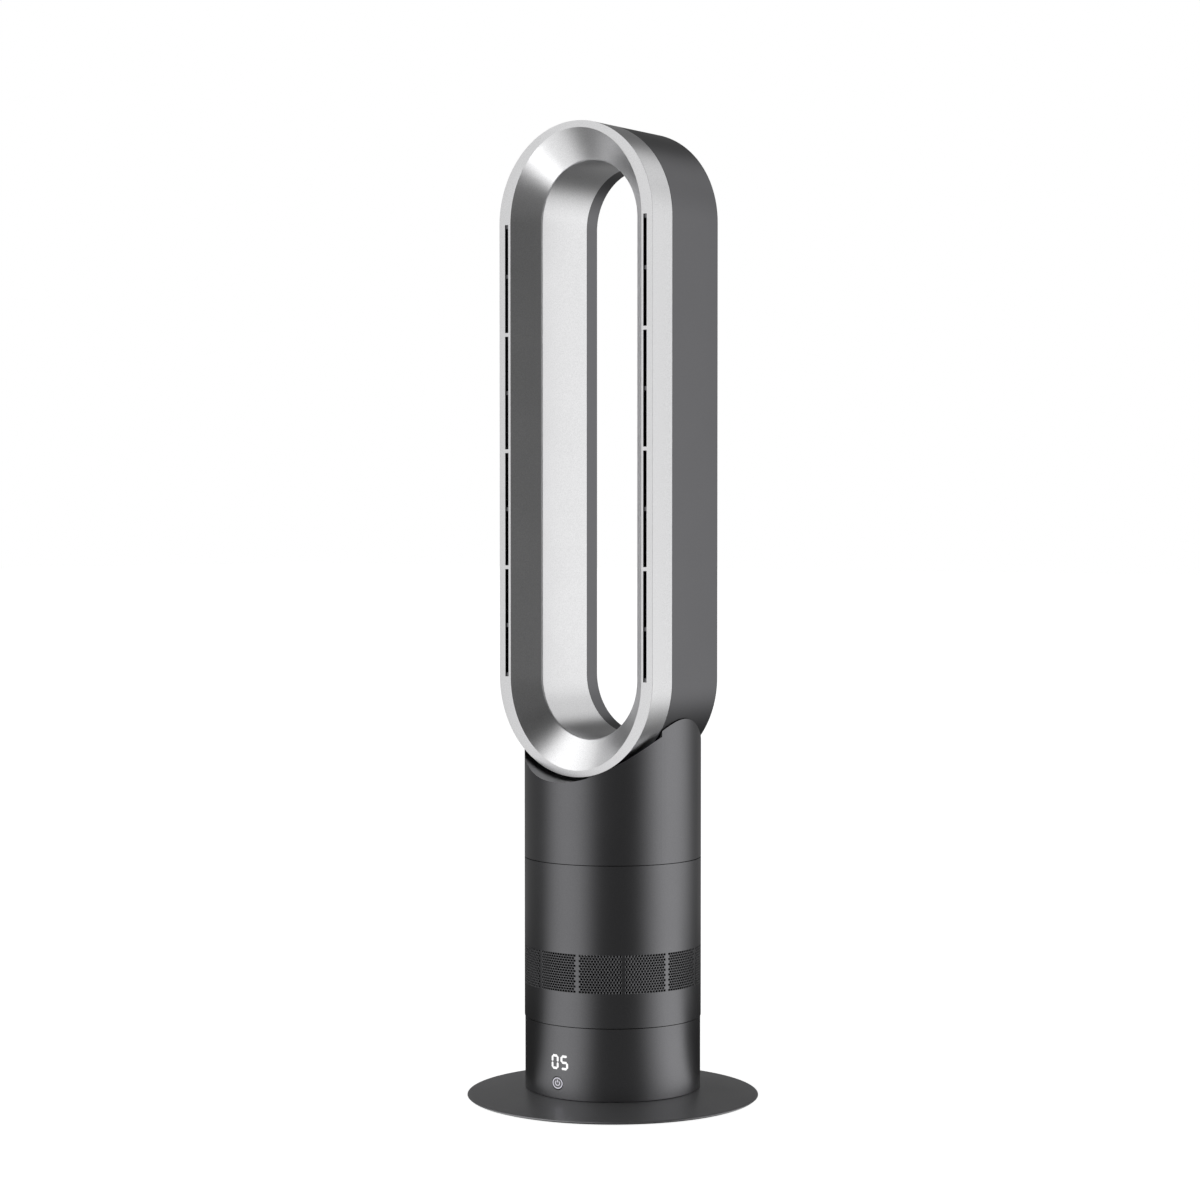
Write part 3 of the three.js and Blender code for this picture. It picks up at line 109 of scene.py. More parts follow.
def length(name, description, default):
    return FloatProperty(name=name, description=description, default=default, min=0, unit="LENGTH", precision=4)


def colour(name, description, code):
    return FloatVectorProperty(
        name=name, description=description, default=linear(code), subtype="COLOR", size=3, min=0, max=1
    )


class FanBaseSizes(bpy.types.PropertyGroup):
    """Sizes of the fixed base"""

    edge_length: length("Edge length", "How far the disc's rounded edge reaches inward", 4.2 * MM)
    edge_height: length("Edge height", "Height of the disc at the start of its rounded edge", 2.45 * MM)
    wall: length("Wall", "Thickness of the column's walls", 2.4 * MM)
    edge_round: length("Edge rounding", "Rounding along the column's joint lines", 0.15 * MM)
    key_height: length("Key height", "Height of the power key's middle", 21.9 * MM)
    key_radius: length("Key radius", "Radius of the power key", 5.5 * MM)
    key_gap: length("Key gap", "Gap round the power key", 0.3 * MM)
    digit_width: length("Digit width", "Width of one lit digit", 7.5 * MM)
    digit_height: length("Digit height", "Height of one lit digit", 12.1 * MM)
    digit_stroke: length("Digit stroke", "Thickness of a lit bar", 1.9 * MM)
    digit_middle: length("Digit middle", "Height of the digits' middle", 39.4 * MM)


class FanBodySizes(bpy.types.PropertyGroup):
    """Sizes of the turning column"""

    hole_radius: length("Hole radius", "Radius of one inlet hole", 0.84 * MM)
    hole_across: length("Hole spacing across", "Distance between holes of a row", 2.6 * MM)
    hole_rows: IntProperty(name="Rows of holes", description="Rows in the inlet band", default=15, min=1)
    hole_columns: IntProperty(name="Holes a row", description="Holes in a panel's longer rows", default=14, min=2)
    panels: IntProperty(name="Panels", description="Perforated panels round the column", default=12, min=1)
    band_bottom: length("Band bottom", "Height of the inlet band above the body's lower edge", 28.3 * MM)
    band_height: length("Band height", "Height of the inlet band", 31.8 * MM)
    saddle_gap: length("Saddle gap", "Gap between the collar and the loop", 1 * MM)
    reveal_gap: length("Reveal gap", "Wider gap under the loop's silver front", 2.8 * MM)


class FanLoopSizes(bpy.types.PropertyGroup):
    """Sizes of the loop"""

    wall: length("Wall", "Thickness of the loop's walls", 2.4 * MM)
    taper: length("Taper", "How much the outer skin narrows from front to back", 2.1 * MM)
    band_depth: length("Silver band depth", "Depth of the silver band along the outside", 27.2 * MM)
    rim_width: length("Rim width", "Width of the front rim along the straight sides", 11.9 * MM)
    rim_width_ends: length("Rim width at the ends", "Width of the front rim at the top and bottom", 5.5 * MM)
    bevel_depth: length("Bevel depth", "How far the bevel runs back from the rim", 19.1 * MM)
    throat_inset: length("Throat inset", "Distance from the outer skin to the open middle", 30.6 * MM)
    exit_taper: length("Exit taper", "How much the open middle narrows to the back", 0.8 * MM)
    slot_width: length("Slot width", "Width of an air slot", 3.5 * MM)
    slot_offset: length("Slot offset", "Distance of the slots from the loop's outer edge", 7.9 * MM)
    slot_recess: length("Slot recess", "Depth of the groove round the slots", 1 * MM)
    slot_bridge: length("Slot bridge", "Rim left between two grooves", 3.1 * MM)
    slot_rib: length("Slot rib", "Rib across the middle of each groove", 3.2 * MM)
    slot_overrun: length("Slot overrun", "How far the end grooves are cut short", 5.55 * MM)
    slots: IntProperty(name="Slots", description="Grooves along each side", default=4, min=1)


class FanFinishes(bpy.types.PropertyGroup):
    """Colours of the finishes"""

    graphite: colour("Graphite paint", "Column", "737375")
    disc: colour("Disc paint", "Floor plate", "8c8c8e")
    shell: colour("Shell paint", "Back of the loop", "707072")
    silver: colour("Silver paint", "Front of the loop", "e6e6e7")
    black: colour("Black plastic", "Air guides and inner mouldings", "1b1b1c")
    digits: colour("Lit digits", "Light of the display", "ffffff")
    icon: colour("Lit key", "Light of the power key's ring and symbol", "c3c1cb")


# ---------------------------------------------------------------- node materials


def add_node(tree, kind, inputs=None, **settings):
    """Adds a node with its settings. An input is set to a value or linked from a socket."""
    made = tree.nodes.new(kind)
    for name, value in settings.items():
        setattr(made, name, value)
    for key, value in (inputs or {}).items():
        if isinstance(value, bpy.types.NodeSocket):
            tree.links.new(value, made.inputs[key])
        else:
            made.inputs[key].default_value = value
    return made


def shade(tint, factor):
    """A linear colour made lighter or darker, with full alpha."""
    return tuple(min(part * factor, 1) for part in tint) + (1,)


def speckled(name, tint, grain, contrast, roughness, roughness_spread, bump=0.0, **shader):
    """A principled material whose colour and gloss vary with a fine speckle of a real grain size."""
    material = bpy.data.materials.new(name)
    material.use_nodes = True
    tree = material.node_tree
    tree.nodes.clear()
    place = add_node(tree, "ShaderNodeTexCoord").outputs["Object"]
    fine = add_node(
        tree, "ShaderNodeTexNoise", {"Vector": place, "Scale": 1 / grain, "Detail": 2.0, "Roughness": 0.6}
    ).outputs[0]
    broad = add_node(
        tree, "ShaderNodeTexNoise", {"Vector": place, "Scale": 1 / (60 * grain), "Detail": 1.0}
    ).outputs[0]
    speckle = add_node(
        tree, "ShaderNodeMapRange", {"Value": fine, "From Min": 0.3, "From Max": 0.7}
    ).outputs[0]
    tone = add_node(
        tree, "ShaderNodeMix",
        {"Factor": speckle, 6: shade(tint, 1 - contrast), 7: shade(tint, 1 + contrast)}, data_type="RGBA",
    ).outputs[2]
    gloss = add_node(tree, "ShaderNodeMapRange", {
        "Value": broad, "From Min": 0.3, "From Max": 0.7,
        "To Min": roughness - roughness_spread, "To Max": roughness + roughness_spread,
    }).outputs[0]
    inputs = {"Base Color": tone, "Roughness": gloss, **shader}
    if bump:
        height = add_node(
            tree, "ShaderNodeBump", {"Height": fine, "Strength": 0.3, "Distance": bump}
        ).outputs[0]
        inputs["Normal"] = height
    surface = add_node(tree, "ShaderNodeBsdfPrincipled", inputs).outputs[0]
    add_node(tree, "ShaderNodeOutputMaterial", {"Surface": surface})
    return material


def finish_of(name):
    return bpy.data.materials.get(name) or FINISHES[name]()


def graphite_painted_abs():
    # Moulded ABS sprayed with a satin metallic paint: broad soft highlights, nearly black between them, with a
    # faint sparkle. The flakes are some 0.05 mm and are drawn at 0.6 mm, so that they just show.
    tint = bpy.context.scene.fan_finishes.graphite
    return speckled("graphite_painted_abs", tint, 0.6 * MM, 0.08, 0.31, 0.015, Metallic=1.0)


def disc_painted_abs():
    # The same paint on the floor plate, with fewer flakes, so that it stays even under the column's shadow
    tint = bpy.context.scene.fan_finishes.disc
    return speckled("disc_painted_abs", tint, 0.6 * MM, 0.08, 0.34, 0.015, Metallic=0.72)


def shell_painted_abs():
    # The same satin metallic paint in a lighter grey
    tint = bpy.context.scene.fan_finishes.shell
    return speckled("shell_painted_abs", tint, 0.6 * MM, 0.05, 0.36, 0.015, Metallic=1.0)


def silver_painted_abs():
    # Moulded ABS sprayed silver: a pale satin metal with a fine grain. Its flakes are drawn at 0.8 mm.
    tint = bpy.context.scene.fan_finishes.silver
    return speckled("silver_painted_abs", tint, 0.8 * MM, 0.1, 0.31, 0.01, Metallic=1.0)


def black_moulded_abs():
    # Black ABS from a spark-eroded mould: matt, with a grain of some 0.1 mm drawn at 0.5 mm
    tint = bpy.context.scene.fan_finishes.black
    return speckled("black_moulded_abs", tint, 0.5 * MM, 0.15, 0.55, 0.04, 0.02 * MM, IOR=1.54)


def moulded_rubber():
    # Moulded rubber: dull and nearly black, with a dusty bloom
    return speckled("moulded_rubber", linear("1a1a1b"), 0.8 * MM, 0.2, 0.85, 0.05, 0.03 * MM, IOR=1.52)


def moulded_nylon():
    # Natural nylon: milky white and half matt
    return speckled("moulded_nylon", linear("e2dfd5"), 1.2 * MM, 0.04, 0.5, 0.05, IOR=1.53)


def zinc_plated_steel():
    # Zinc plated steel: blue-white metal with a patchy gloss
    return speckled("zinc_plated_steel", linear("9c9ea2"), 1.5 * MM, 0.12, 0.34, 0.08, Metallic=1.0)


def cast_iron():
    # Sand-cast iron: dark, rough and pitted
    return speckled("cast_iron", linear("55565a"), 1.4 * MM, 0.25, 0.62, 0.08, 0.15 * MM, Metallic=1.0)


def solder_masked_board():
    # Glass-fibre board under green solder mask: a weave of 0.5 mm under a thin gloss
    return speckled("solder_masked_board", linear("1f5a3c"), 0.5 * MM, 0.18, 0.35, 0.05, IOR=1.55)


def potted_display():
    # Light windows in dark potting resin: smooth and slightly glossy
    return speckled("potted_display", linear("2a2a2e"), 1.0 * MM, 0.1, 0.25, 0.04, IOR=1.55)


def open_cell_foam():
    # Charcoal foam: cells of 1 mm, very rough
    return speckled("open_cell_foam", linear("262628"), 1.0 * MM, 0.5, 0.95, 0.03, 0.5 * MM, IOR=1.4)


def enamelled_copper():
    # Enamelled copper wire: orange metal under a clear lacquer
    return speckled("enamelled_copper", linear("a9663a"), 0.8 * MM, 0.15, 0.35, 0.06, Metallic=1.0)


def glowing(name, tint, strength):
    """Light through a diffusing film: nearly even, with a slight mottle of 2 mm."""
    material = bpy.data.materials.new(name)
    material.use_nodes = True
    tree = material.node_tree
    tree.nodes.clear()
    place = add_node(tree, "ShaderNodeTexCoord").outputs["Object"]
    mottle = add_node(tree, "ShaderNodeTexNoise", {"Vector": place, "Scale": 1 / (2 * MM)}).outputs[0]
    tone = add_node(
        tree, "ShaderNodeMix", {"Factor": mottle, 6: shade(tint, 0.94), 7: shade(tint, 1.0)}, data_type="RGBA",
    ).outputs[2]
    surface = add_node(tree, "ShaderNodeBsdfPrincipled", {
        "Base Color": shade(tint, 0.05), "Roughness": 0.4, "Emission Color": tone, "Emission Strength": strength,
    }).outputs[0]
    add_node(tree, "ShaderNodeOutputMaterial", {"Surface": surface})
    return material


def lit_digits():
    # White light-emitting diodes behind a diffusing film
    return glowing("lit_digits", bpy.context.scene.fan_finishes.digits, 1.1)


def lit_icon():
    # The same light, dimmed and slightly lilac, through printed lines on the key
    return glowing("lit_icon", bpy.context.scene.fan_finishes.icon, 1.25)


FINISHES = {make.__name__: make for make in (
    graphite_painted_abs, disc_painted_abs, shell_painted_abs, silver_painted_abs, black_moulded_abs, moulded_rubber,
    moulded_nylon, zinc_plated_steel, cast_iron, solder_masked_board, potted_display, open_cell_foam,
    enamelled_copper, lit_digits, lit_icon,
)}

# Finish of each inner or carried-over node, by the start of its name
NODE_FINISH = {
    "foot": "moulded_rubber",
    "neck_seal": "moulded_rubber",
    "isolator_ring": "moulded_rubber",
    "drive_pinion": "moulded_nylon",
    "turntable": "moulded_nylon",
    "slide_ring": "moulded_nylon",
    "retaining_ring": "zinc_plated_steel",
    "key_switch": "zinc_plated_steel",
    "stepper_motor": "zinc_plated_steel",
    "motor_shaft": "zinc_plated_steel",
    "lower_bearing": "zinc_plated_steel",
    "upper_bearing": "zinc_plated_steel",
    "rotor_bell": "zinc_plated_steel",
    "ballast_plate": "cast_iron",
    "magnet_ring": "cast_iron",
    "control_board": "solder_masked_board",
    "panel_board": "solder_masked_board",
    "display_module": "potted_display",
    "silencer_foam": "open_cell_foam",
    "stator": "enamelled_copper",
}


# ---------------------------------------------------------------- making pieces


def verts_in(made):
    """The vertices among what a bmesh operator made."""
    return [part for part in made if isinstance(part, bmesh.types.BMVert)]


def edges_in(made):
    """The edges among what a bmesh operator made."""
    return [part for part in made if isinstance(part, bmesh.types.BMEdge)]


def put_piece(name, bm, body, finishes, stands_for=(), crease=30):
    """Turns a bmesh into a shaded piece that rides on a body of the frame."""
    mesh = bpy.data.meshes.new(name)
    bm.to_mesh(mesh)
    bm.free()
    for finish in finishes:
        mesh.materials.append(finish_of(finish))
    mesh.shade_smooth()
    mesh.set_sharp_from_angle(angle=radians(crease))
    piece = bpy.data.objects.new(name, mesh)
    bpy.context.scene.collection.objects.link(piece)
    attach(piece, body)
    if stands_for:
        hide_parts(*stands_for)
    even_shading(piece)
    return piece


def chain_of(bm, points, closed=True):
    """Vertices and edges through [radius, height] points in the plane Y = 0."""
    verts = [bm.verts.new((radius, 0, height)) for radius, height in points]
    ends = verts[1:] + verts[:1] if closed else verts[1:]
    edges = [bm.edges.new(pair) for pair in zip(verts, ends)]
    return verts, edges


def soften(bm, corner, offset, segments=3):
    """Rounds one corner of a chain."""
    bmesh.ops.bevel(
        bm, geom=[corner], offset=offset, offset_type="OFFSET", segments=segments, profile=0.5,
        affect="VERTICES", material=-1,
    )


def turn_full(bm):
    """Turns everything in a bmesh about Z, and closes its poles."""
    bmesh.ops.spin(
        bm, geom=bm.verts[:] + bm.edges[:], cent=(0, 0, 0), axis=(0, 0, 1), angle=2 * pi, steps=ROUND,
        use_merge=True,
    )
    bmesh.ops.remove_doubles(bm, verts=bm.verts[:], dist=TINY)
    bmesh.ops.recalc_face_normals(bm, faces=bm.faces[:])


def turned_ring(bm, points, steps=ROUND):
    """Adds a closed ring of a profile to a bmesh that holds other shapes."""
    verts, edges = chain_of(bm, points)
    made = bmesh.ops.spin(
        bm, geom=verts + edges, cent=(0, 0, 0), axis=(0, 0, 1), angle=2 * pi, steps=steps, use_merge=True,
    )
    faces = {face for vert in verts_in(made["geom_last"]) for face in vert.link_faces}
    grown = set(faces)
    while faces:
        faces = {other for face in faces for edge in face.edges for other in edge.link_faces} - grown
        grown |= faces
    bmesh.ops.recalc_face_normals(bm, faces=list(grown))


def round_hole(bm, reach, radius, locate):
    """Opens a round hole in a fine grid, inside a square patch.

    locate gives a point's place in the patch's own plane, and its inverse. The vertices one cell in from the
    patch's edge move onto the circle, and the faces inside them go. Returns the circle's edges.
    """
    flat, back = locate
    patch = [f for f in bm.faces if all(max(map(abs, flat(v.co))) < reach + TINY for v in f.verts)]
    inside = set(patch)
    rim = {v for f in patch for v in f.verts if any(other not in inside for other in v.link_faces)}
    middle = [f for f in patch if not rim & set(f.verts)]
    core = set(middle)
    circle = {v for f in middle for v in f.verts if any(other not in core for other in v.link_faces)}
    for vert in circle:
        across, along = flat(vert.co)
        angle = atan2(along, across)
        vert.co = back(radius * cos(angle), radius * sin(angle))
    edges = [e for e in {e for v in circle for e in v.link_edges} if set(e.verts) <= circle
             and sum(f in core for f in e.link_faces) == 1]
    bmesh.ops.delete(bm, geom=middle, context="FACES")
    return edges


def on_wall(radius, side, height):
    """Place on an upright round wall, as seen from straight in front (side -1) or behind (side 1)."""

    def flat(co):
        if co.y * side <= 0 or abs(hypot(co.x, co.y) - radius) > TINY * 2:
            return (1, 1)
        return (co.x, co.z - height)

    def back(across, along):
        return (across, side * sqrt(radius**2 - across**2), height + along)

    return flat, back


def on_underside(level, circle, angle):
    """Place on a flat ring face round a point at an angle on a circle."""
    outward = Vector((cos(angle), sin(angle), 0))
    sideways = Vector((-sin(angle), cos(angle), 0))
    centre = outward * circle

    def flat(co):
        turned = atan2(co.y, co.x) - angle
        turned = (turned + pi) % (2 * pi) - pi
        if abs(co.z - level) > TINY:
            return (1, 1)
        return (hypot(co.x, co.y) - circle, turned * circle)

    def back(across, along):
        return tuple(centre + outward * across + sideways * along + UP * level)

    return flat, back


def face_outward(bm, middle=Vector((0, 0, 0)), axis=UP):
    """Turns an open sheet round an axis so that its faces point away from it."""
    total = 0
    for face in bm.faces:
        away = face.calc_center_median() - middle
        total += face.normal.dot(away - axis * away.dot(axis)) * face.calc_area()
    if total < 0:
        bmesh.ops.reverse_faces(bm, faces=bm.faces[:])


def wrap(bm, radius, angle=0.0):
    """Bends what is drawn flat in X and Z round the column. Its Y is height above the surface, outward negative."""
    for vert in bm.verts:
        turned = angle + vert.co.x / radius
        reach = radius - vert.co.y
        vert.co = (reach * sin(turned), -reach * cos(turned), vert.co.z)


def even_shading(piece):
    """Keeps large flat faces evenly shaded next to rounded edges."""
    normals = piece.modifiers.new("normals", "WEIGHTED_NORMAL")
    normals.keep_sharp = True


def thicken(piece, thickness, offset, lining=0):
    """Gives a sheet its thickness. Offset -1 grows it inward and 1 outward. Lining is the finish of its new faces."""
    wall = piece.modifiers.new("wall", "SOLIDIFY")
    wall.thickness = thickness
    wall.offset = offset
    wall.use_even_offset = True
    wall.material_offset = lining
    wall.material_offset_rim = lining
    piece.modifiers.move(len(piece.modifiers) - 1, 0)


def soften_marked_edges(piece, width, segments):
    """Rounds the edges that have a bevel weight."""
    edges = piece.modifiers.new("edges", "BEVEL")
    edges.width = width
    edges.segments = segments
    edges.limit_method = "WEIGHT"
    piece.modifiers.move(len(piece.modifiers) - 1, 0)


def rows_between(low, high, count):
    return [low + (high - low) * step / count for step in range(count + 1)]


# ---------------------------------------------------------------- base


class FanBaseDisc(bpy.types.Operator):
    """Low cone with a rounded edge, with pockets for the feet"""

    bl_idname = "fan.base_disc"
    bl_label = "Base disc"

    FEET = 5
    SCREWS = 4
    SCREW_POCKET = 2.8 * MM
    # Height at which the edge is widest, and how far the underside stops short of it
    EDGE_BELOW = 1.1 * MM
    UNDERCUT = 1.2 * MM
    # Length of the short flat facet inside the rounded edge
    FACET = 12 * MM

    def execute(self, context):
        sizes = context.scene.fan_base
        bottom = DISC_LOW.z
        seat = CASE_RADIUS + FIT
        foot_low, foot_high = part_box("foot_1")
        foot_circle = (foot_low.y + foot_high.y) / 2
        foot_radius = (foot_high.y - foot_low.y) / 2 + FIT
        screw_low, screw_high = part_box("floor_screw_1")
        screw_circle = hypot(screw_low.x + screw_high.x, screw_low.y + screw_high.y) / 2
        screw_radius = (screw_high.x - screw_low.x) / 2 + FIT
        step = 2 * pi / ROUND
        screw_reach = 3 * screw_circle * step
        foot_reach = 4 * foot_circle * step
        bm = bmesh.new()
        under = [0, *rows_between(screw_circle - screw_reach, screw_circle + screw_reach, 6)]
        under += rows_between(foot_circle - foot_reach, foot_circle + foot_reach, 8)
        widest = bottom + self.EDGE_BELOW
        shoulder = bottom + sizes.edge_height
        start = DISC_RADIUS - sizes.edge_length
        points = [(radius, bottom) for radius in under]
        points.append((DISC_RADIUS - self.UNDERCUT, bottom))
        for part in range(9):
            angle = part * pi / 16
            points.append((start + sizes.edge_length * cos(angle), widest + (shoulder - widest) * sin(angle)))
        slope = (DISC_HIGH.z - shoulder) / (start - seat)
        points += [(start - self.FACET, shoulder + self.FACET * slope), (seat, DISC_HIGH.z), (0, DISC_HIGH.z)]
        chain_of(bm, points, closed=False)
        turn_full(bm)
        for place in range(self.FEET):
            angle = pi / 2 + place * 2 * pi / self.FEET
            edges = round_hole(bm, foot_reach, foot_radius, on_underside(bottom, foot_circle, angle))
            self.sink(bm, edges, foot_high.z + FIT - bottom)
        for place in range(self.SCREWS):
            angle = pi / 4 + place * 2 * pi / self.SCREWS
            edges = round_hole(bm, screw_reach, screw_radius, on_underside(bottom, screw_circle, angle))
            self.sink(bm, edges, self.SCREW_POCKET)
        bmesh.ops.recalc_face_normals(bm, faces=bm.faces[:])
        put_piece("floor_plate", bm, "base", ["disc_painted_abs"], ["base_disc"], crease=40)
        return {"FINISHED"}

    @staticmethod
    def sink(bm, edges, depth):
        """Makes a flat-bottomed pocket up from a round hole's edge."""
        made = bmesh.ops.extrude_edge_only(bm, edges=edges)["geom"]
        verts = verts_in(made)
        bmesh.ops.translate(bm, verts=verts, vec=(0, 0, depth))
        roof = [e for e in edges_in(made) if set(e.verts) <= set(verts)]
        bmesh.ops.holes_fill(bm, edges=roof, sides=0)


class FanBaseHousing(bpy.types.Operator):
    """Fixed lower section of the column, with the holes for the power key and the power socket"""

    bl_idname = "fan.base_housing"
    bl_label = "Base housing"

    FLANGE_WIDTH = 9 * MM
    FLANGE_THICKNESS = 2 * MM
    LEDGE_WIDTH = 7.8 * MM
    LEDGE_THICKNESS = 3 * MM
    LEDGE_FOOT = 8 * MM
    SOCKET_HOLE = 4.6 * MM

    def execute(self, context):
        sizes = context.scene.fan_base
        inner = CASE_RADIUS - sizes.wall
        soft = sizes.edge_round
        cell = CASE_RADIUS * 2 * pi / ROUND
        rows = rows_between(sizes.key_height - 4 * cell, sizes.key_height + 4 * cell, 8)
        flange = inner - self.FLANGE_WIDTH
        low, high = CASE_LOW.z, CASE_HIGH.z
        ledge = DECK_LOW.z - FIT
        points = [(flange, low), (CASE_RADIUS - soft, low), (CASE_RADIUS, low + soft)]
        points += [(CASE_RADIUS, row) for row in rows]
        points += [(CASE_RADIUS, high - soft), (CASE_RADIUS - soft, high), (inner + soft, high), (inner, high - soft)]
        nose = inner - self.LEDGE_WIDTH
        points += [(inner, ledge), (nose, ledge), (nose, ledge - self.LEDGE_THICKNESS)]
        points += [(inner, ledge - self.LEDGE_FOOT)]
        points += [(inner, row) for row in reversed(rows)]
        points += [(inner, low + self.FLANGE_THICKNESS), (flange, low + self.FLANGE_THICKNESS)]
        bm = bmesh.new()
        chain_of(bm, points)
        turn_full(bm)
        socket_low, socket_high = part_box("power_socket")
        holes = (
            (-1, sizes.key_height, sizes.key_radius + sizes.key_gap),
            (1, (socket_low.z + socket_high.z) / 2, self.SOCKET_HOLE),
        )
        for side, height, radius in holes:
            edges = []
            for wall in (CASE_RADIUS, inner):
                patch = on_wall(wall, side, sizes.key_height)
                edges.append(round_hole(bm, 4 * cell, radius, patch))
            bmesh.ops.bridge_loops(bm, edges=edges[0] + edges[1])
        bmesh.ops.recalc_face_normals(bm, faces=bm.faces[:])
        put_piece("base_case", bm, "base", ["graphite_painted_abs"], ["base_housing"])
        return {"FINISHED"}


class FanPowerKey(bpy.types.Operator):
    """Power key with its flange and stem, and the lit ring and power symbol on its face"""

    bl_idname = "fan.power_key"
    bl_label = "Power key"

    STRETCH = 1.15
    STEM_RADIUS = 1.6 * MM
    FLANGE_THICKNESS = 1.2 * MM
    CAP_ROUND = 0.35 * MM
    RING_RADIUS = 4.55 * MM
    RING_WIDTH = 0.72 * MM
    # Power symbol: radii of its open ring, half of the ring's opening, and its bar's half width, half length and rise
    SYMBOL_RADII = (1.55 * MM, 2.25 * MM)
    SYMBOL_OPENING = radians(38)
    BAR_HALF_WIDTH = 0.36 * MM
    BAR_HALF_LENGTH = 1.15 * MM
    BAR_RISE = 1.75 * MM

    def execute(self, context):
        sizes = context.scene.fan_base
        radius = sizes.key_radius
        low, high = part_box("power_key")
        soft = self.CAP_ROUND
        flange_radius = (high.x - low.x) / 2
        inner = CASE_RADIUS - sizes.wall
        flange = sqrt(inner**2 - flange_radius**2) - FIT
        # The profile is drawn upward along the key's axis, from the stem's end to the middle of the cap
        shelf = flange - self.FLANGE_THICKNESS
        points = [(0, -high.y), (self.STEM_RADIUS, -high.y), (self.STEM_RADIUS, shelf)]
        points += [(flange_radius, shelf), (flange_radius, flange), (radius, flange)]
        points += [(radius, CASE_RADIUS - soft), (radius - soft, CASE_RADIUS)]
        points += [(radius * part / 4, CASE_RADIUS) for part in (3, 2, 1, 0)]
        bm = bmesh.new()
        chain_of(bm, points, closed=False)
        bmesh.ops.spin(
            bm, geom=bm.verts[:] + bm.edges[:], cent=(0, 0, 0), axis=(0, 0, 1), angle=2 * pi, steps=64,
            use_merge=True,
        )
        bmesh.ops.remove_doubles(bm, verts=bm.verts[:], dist=TINY)
        bmesh.ops.recalc_face_normals(bm, faces=bm.faces[:])
        bmesh.ops.rotate(bm, verts=bm.verts[:], cent=(0, 0, 0), matrix=Matrix.Rotation(pi / 2, 3, "X"))
        for vert in bm.verts:
            if vert.co.y < -flange - TINY:
                vert.co.y += CASE_RADIUS - sqrt(CASE_RADIUS**2 - vert.co.x**2)
        bmesh.ops.translate(bm, verts=bm.verts[:], vec=(0, 0, sizes.key_height))
        put_piece("power_button", bm, "key", ["graphite_painted_abs"], ["power_key"])
        self.draw_ring(sizes)
        self.draw_symbol(sizes)
        return {"FINISHED"}

    def lay_on_key(self, bm, name, sizes):
        """Stands a flat drawing up on the key's face."""
        bmesh.ops.scale(bm, verts=bm.verts[:], vec=(self.STRETCH, 1, 1))
        bmesh.ops.rotate(bm, verts=bm.verts[:], cent=(0, 0, 0), matrix=Matrix.Rotation(pi / 2, 3, "X"))
        bmesh.ops.translate(bm, verts=bm.verts[:], vec=(0, 0, sizes.key_height))
        wrap(bm, CASE_RADIUS + LIT_LIFT)
        bm.normal_update()
        face_outward(bm)
        piece = put_piece(name, bm, "key", ["lit_icon"])
        thicken(piece, LIT_FILM, 1)

    def draw_ring(self, sizes):
        bm = bmesh.new()
        self.sweep_band(bm, self.RING_RADIUS - self.RING_WIDTH, self.RING_RADIUS, 0, 2 * pi, 72)
        self.lay_on_key(bm, "power_ring", sizes)

    def draw_symbol(self, sizes):
        bm = bmesh.new()
        gap = self.SYMBOL_OPENING
        self.sweep_band(bm, *self.SYMBOL_RADII, pi / 2 + gap, 2 * pi - 2 * gap, 32)
        made = bmesh.ops.create_grid(bm, x_segments=1, y_segments=3, size=1)["verts"]
        bmesh.ops.scale(bm, verts=made, vec=(self.BAR_HALF_WIDTH, self.BAR_HALF_LENGTH, 1))
        bmesh.ops.translate(bm, verts=made, vec=(0, self.BAR_RISE, 0))
        self.lay_on_key(bm, "power_symbol", sizes)

    @staticmethod
    def sweep_band(bm, inner, outer, start, angle, steps):
        """A flat curved band, swept from one short edge."""
        verts = [bm.verts.new((reach * cos(start), reach * sin(start), 0)) for reach in (inner, outer)]
        edge = bm.edges.new(verts)
        whole = angle > 2 * pi - 0.01
        bmesh.ops.spin(
            bm, geom=verts + [edge], cent=(0, 0, 0), axis=(0, 0, 1), angle=angle, steps=steps, use_merge=whole,
        )


